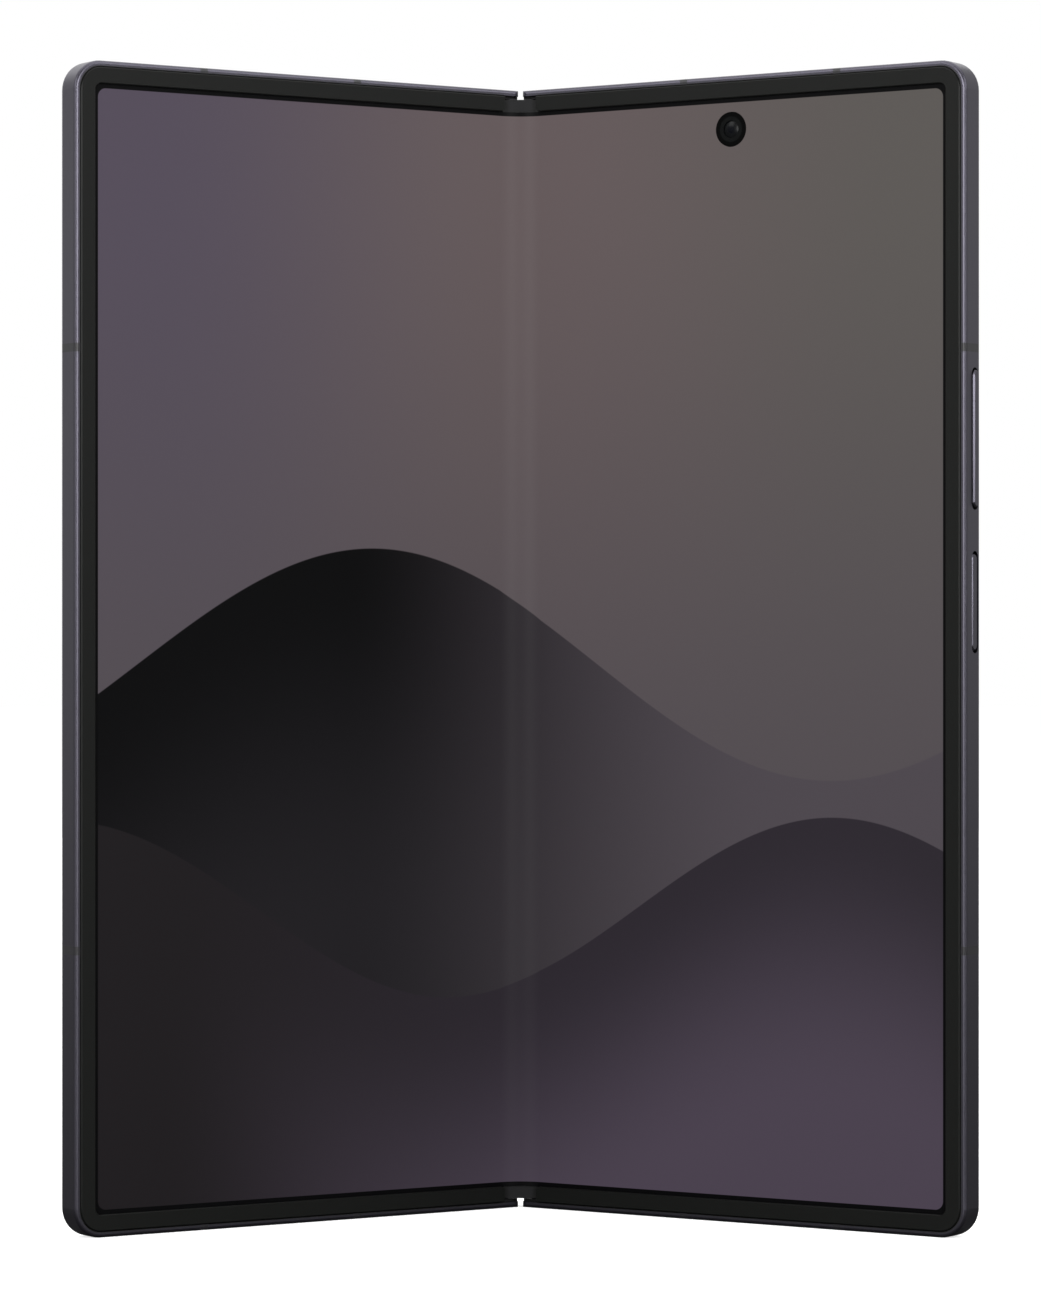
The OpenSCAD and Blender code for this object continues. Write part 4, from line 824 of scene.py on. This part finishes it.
# Black barrel steps and tinted lens zones under a coating that takes most of the shine away.
# Profiles are points of radius and depth.
zone_soft = 0.04
optic, tree, shader = material("coated_lens_glass", "#050506", {
    "IOR": 1.52, "Roughness": 0.05, "Specular IOR Level": 0.25,
})
reach = axis_distance(tree, flat_half(tree, 1), island_along, island_up, lens_pitch)
feed(shader.inputs["Base Color"], zones(tree, reach, "#070708", (
    (4.4, "#0B0B0D"), (3.5, "#141418"), (3.3, "#050507"), (2.45, "#0A0B14"), (1.7, "#10132A"),
    (0.95, "#05050A"),
), zone_soft))
barrel_steps = [(4.45, ring_top), (4.35, 6.5), (3.5, 6.46), (3.4, 6.36), (2.6, lens_seat)]
window_edge = [(window_radius, window_seat), (window_radius, 6.55), (5.2, ring_top)]
lens_window = [(0.0, window_seat), *window_edge, *barrel_steps, *dome(lens_radius, lens_seat, lens_rise)]
sites = [(island_along, island_up + k * lens_pitch) for k in (-1, 0, 1)]
optics = turned_about("camera_optics", sites, lens_window, optic)
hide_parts("camera_lens_glass")
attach(optics, "right_half")

# Turning leaves a bright edge and fine grooves that spread each highlight across the ring. They
# are drawn at a pitch of 0.12 mm, about twice the real one.
groove_pitch, groove_width, groove_soft, groove_rise = 0.12, 0.06, 0.03, 0.004
bright_from, bright_at = 5.92, 5.98
ring_metal, tree, shader = material("turned_aluminium", "#6C6A73", {"Metallic": 1.0, "Roughness": 0.24})
reach = axis_distance(tree, flat_half(tree, 1), island_along, island_up, lens_pitch)
grooves = stripes(tree, reach, groove_pitch, groove_width, groove_soft)
feed(shader.inputs["Normal"], add(tree, "Bump", sockets={"Height": grooves, "Distance": groove_rise / 1000}))
feed(shader.inputs["Base Color"], faded(tree, reach, bright_from, bright_at, "#5A5861", "#8B8993"))
ring_radius, ring_hole, ring_back, ring_seat = 6.2, 5.0, 5.4, 6.2
ring_section = [
    (ring_hole, ring_back), (ring_radius, ring_back), (ring_radius, 6.32), (6.13, 6.48), (5.95, ring_top),
    (5.38, ring_top), (5.3, 6.54), (5.3, ring_seat), (ring_hole, ring_seat), (ring_hole, ring_back),
]
rings = turned_about("camera_rings", sites, ring_section, ring_metal)
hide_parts("camera_lens_rings")
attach(rings, "right_half")

# The modules' housings are moulded polyamide: black with a dull, finely grained skin.
housing, tree, shader = material("moulded_polyamide", "#131315", {"IOR": 1.53})
speckle(tree, shader, grain_mm=0.3, colours=("#111113", "#18181A"), roughness=(0.4, 0.5), bump_mm=0.002)
dress(housing, "camera_modules", "cover_camera")


# ---- Flash --------------------------------------------------------------------------
# A clear lens of moulded acrylic with ring-shaped steps sits over yellow phosphor chips. The
# steps break the yellow up into rings, and the lens's rim looks grey.
flash_along, flash_up = 46.4, 55.3
chip_edge, rim_edge = (0.9, 0.6), (1.6, 1.75)
step_pitch, step_width, step_soft, step_rise = 0.3, 0.15, 0.06, 0.03
acrylic, tree, shader = material("moulded_acrylic", "#E4DCB8", {
    "IOR": 1.49, "Roughness": 0.12, "Coat Weight": 1.0,
})
reach = axis_distance(tree, flat_half(tree, 1), flash_along, flash_up)
steps = stripes(tree, reach, step_pitch, step_width, step_soft)
feed(shader.inputs["Normal"], add(tree, "Bump", sockets={"Height": steps, "Distance": step_rise / 1000}))
shade = faded(tree, reach, *chip_edge, "#DAD6C6", "#D8BE4A")
feed(shader.inputs["Base Color"], faded(tree, reach, *rim_edge, shade, "#8C8B86"))
dress(acrylic, "flash_lens")


# ---- Inner camera -------------------------------------------------------------------
# It looks out through a round hole in the display: an aluminium barrel flush with the film,
# blackened so that hardly any light comes back, and a small coated lens at the bottom of its
# recess.
barrel_edge = (1.82, 1.7)
barrel, tree, shader = material("blackened_aluminium", "#030303", {
    "IOR": 1.53, "Specular IOR Level": 0.06, "Roughness": 0.3,
})
reach = axis_distance(tree, flat_half(tree, 1), camera_along, camera_up)
feed(shader.inputs["Base Color"], faded(tree, reach, *barrel_edge, "#010101", "#0B0C0C"))
dress(barrel, "inner_camera")

# The coating leaves the lens dim, with a bluish middle.
inner_lens_radius, inner_lens_seat, inner_lens_back, inner_lens_rise = 1.17, 0.44, 0.495, 0.16
pupil_edge = (0.62, 0.5)
small_optic, tree, shader = material("coated_inner_lens_glass", "#121314", {
    "IOR": 1.52, "Specular IOR Level": 0.1, "Roughness": 0.22,
})
reach = axis_distance(tree, flat_half(tree, 1), camera_along, camera_up)
feed(shader.inputs["Base Color"], faded(tree, reach, *pupil_edge, "#0D0E0F", "#08090D"))
inner_dome = dome(inner_lens_radius, inner_lens_seat, -inner_lens_rise)
inner_profile = [(0.0, inner_lens_back), (inner_lens_radius, inner_lens_back), *inner_dome]
lens = turned_about("inner_camera_lens", [(camera_along, camera_up)], inner_profile, small_optic)
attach(lens, "right_half")


# ---- Circuit boards and shields -----------------------------------------------------
# Fibreglass boards under dark green solder mask, with tracks and tinned pads. Folded
# nickel-silver lids, which look pale and slightly yellow, cover the chips.
pad_width, pad_pitch_along, pad_pitch_up = 0.45, 1.6, 1.2
patch_edge = (0.5, 0.52)
board_rise = 0.03


def board(name, side):
    """Solder mask over tracks: raised lines of a brick pattern, and pads on a fine grid where a
    slow noise is high."""
    made, tree, shader = material(name, "#10301F", {"IOR": 1.55, "Roughness": 0.32})
    flat = flat_half(tree, side)
    face = add(tree, "CombineXYZ", flat["X"], flat["Z"])
    tracks = add(tree, "TexBrick", face, offset=0.35, sockets={
        "Scale": 1.0, "Mortar Size": 0.12, "Brick Width": 2.4, "Row Height": 0.8,
    }).outputs["Fac"]
    columns = stripes(tree, flat["X"], pad_pitch_along, pad_width)
    rows = stripes(tree, flat["Z"], pad_pitch_up, pad_width)
    pads = add(tree, "Math", columns, rows, operation="MULTIPLY")
    patch = add(tree, "TexNoise", face, sockets={"Scale": 0.15})
    patch = add(tree, "MapRange", patch, *patch_edge, interpolation_type="SMOOTHSTEP")
    pads = add(tree, "Math", pads, patch, operation="MULTIPLY")
    shade = add(tree, "Mix", tracks, "#0D2A1B", "#17432B", data_type="RGBA")
    feed(shader.inputs["Base Color"], add(tree, "Mix", pads, shade, "#B9B7AE", data_type="RGBA"))
    metal = add(tree, "Math", tracks, pads, operation="MAXIMUM")
    feed(shader.inputs["Normal"], add(tree, "Bump", sockets={"Height": metal, "Distance": board_rise / 1000}))
    return made


dress(board("solder_mask_left", -1), "left_board")
dress(board("solder_mask_right", 1), "main_board", "bottom_board")
lids = brushed("nickel_silver", ("#A9A79E", "#B7B5AC"), roughness=(0.26, 0.36), grain_mm=0.3)
dress(lids, "board_shields")


# ---- Batteries and charging coil ----------------------------------------------------
# Flat cells in a pouch of dark laminated film with a faint orange-peel surface. On the right one
# lies the coil for wireless charging: flat turns of enamelled copper on a black ferrite sheet.
wrap, tree, shader = material("laminated_film", "#1E1F22", {"IOR": 1.5})
speckle(tree, shader, grain_mm=1.2, colours=("#1C1D20", "#232428"), roughness=(0.35, 0.48), bump_mm=0.02)
dress(wrap, "left_battery", "right_battery")

# The clear enamel deepens the copper to a red brown, with a long highlight on every turn.
cell_start, cell_inset = 15.5, 6.1
coil_along, coil_up = (cell_start + half_width - cell_inset) / 2, -22.0
turn_pitch, turn_width, turn_soft, turn_rise = 0.8, 0.62, 0.06, 0.12
coil, tree, shader = material("enamelled_copper", "#A8562B", {"Metallic": 1.0, "Roughness": 0.28})
reach = axis_distance(tree, flat_half(tree, 1), coil_along, coil_up)
wire = stripes(tree, reach, turn_pitch, turn_width, turn_soft)
feed(shader.inputs["Base Color"], add(tree, "Mix", wire, "#23110A", "#B8602F", data_type="RGBA"))
feed(shader.inputs["Normal"], add(tree, "Bump", sockets={"Height": wire, "Distance": turn_rise / 1000}))
dress(coil, "wireless_coil")


# ---- Sound, vibration and card reader -----------------------------------------------
# The two speakers are black moulded boxes with a dull skin; the vibration motor is a drawn
# stainless can, and the card reader a stamped and folded sheet of the same bright steel.
moulded, tree, shader = material("liquid_crystal_polymer", "#161618", {"IOR": 1.6})
speckle(tree, shader, grain_mm=0.25, colours=("#131315", "#1B1B1E"), roughness=(0.45, 0.6), bump_mm=0.003)
dress(moulded, "earpiece_speaker", "loudspeaker")
drawn = brushed("drawn_stainless", ("#9B9B9E", "#ABABAE"), roughness=(0.22, 0.32), grain_mm=0.2)
dress(drawn, "vibration_motor", "sim_reader")


# ---- Charging port ------------------------------------------------------------------
# A bright drawn steel shell with a black moulded tongue in it, and gold-plated contacts on
# both faces of the tongue.
port_along, port_depth = half_width / 2, 2.25

# Each pair of places is where the tongue or its contacts are gone and where they are whole.
tongue_side = (3.42, 3.38)
tongue_face = (0.45, 0.4)
contacts_side = (3.0, 2.96)
contact_pitch, contact_width = 0.5, 0.26
port, tree, shader = material("drawn_steel_and_tongue", "#8E8F93", {"Roughness": 0.3})
flat = flat_half(tree, 1)
off_along = add(tree, "Math", flat["X"], port_along, operation="SUBTRACT")
off_along = add(tree, "Math", off_along, operation="ABSOLUTE")
off_depth = add(tree, "Math", flat["Y"], port_depth, operation="SUBTRACT")
off_depth = add(tree, "Math", off_depth, operation="ABSOLUTE")
between_sides = add(tree, "MapRange", off_along, *tongue_side, interpolation_type="SMOOTHSTEP")
between_faces = add(tree, "MapRange", off_depth, *tongue_face, interpolation_type="SMOOTHSTEP")
tongue = add(tree, "Math", between_sides, between_faces, operation="MULTIPLY")
from_contact = add(tree, "Math", flat["X"], port_along + contact_pitch / 2, operation="SUBTRACT")
contacts = stripes(tree, from_contact, contact_pitch, contact_width)
inside = add(tree, "MapRange", off_along, *contacts_side, interpolation_type="SMOOTHSTEP")
contacts = add(tree, "Math", contacts, inside, operation="MULTIPLY")
shade = add(tree, "Mix", contacts, "#17171A", "#C69A3C", data_type="RGBA")
feed(shader.inputs["Base Color"], add(tree, "Mix", tongue, "#8E8F93", shade, data_type="RGBA"))
shell = add(tree, "Math", 1.0, tongue, operation="SUBTRACT")
feed(shader.inputs["Metallic"], add(tree, "Math", shell, contacts, operation="MAXIMUM"))
dress(port, "usb_port")


# ---- Key switches -------------------------------------------------------------------
# One flex strip behind the keys carries three snap domes of gold-plated steel. The plating
# is thin and matt, so the domes look a dull yellow brown.
domes, tree, shader = material("gold_plated_steel", "#8A6A34", {"Metallic": 1.0})
speckle(tree, shader, grain_mm=0.3, colours=("#7F6130", "#96743C"), roughness=(0.25, 0.35), bump_mm=0.001)
dress(domes, "key_switches")
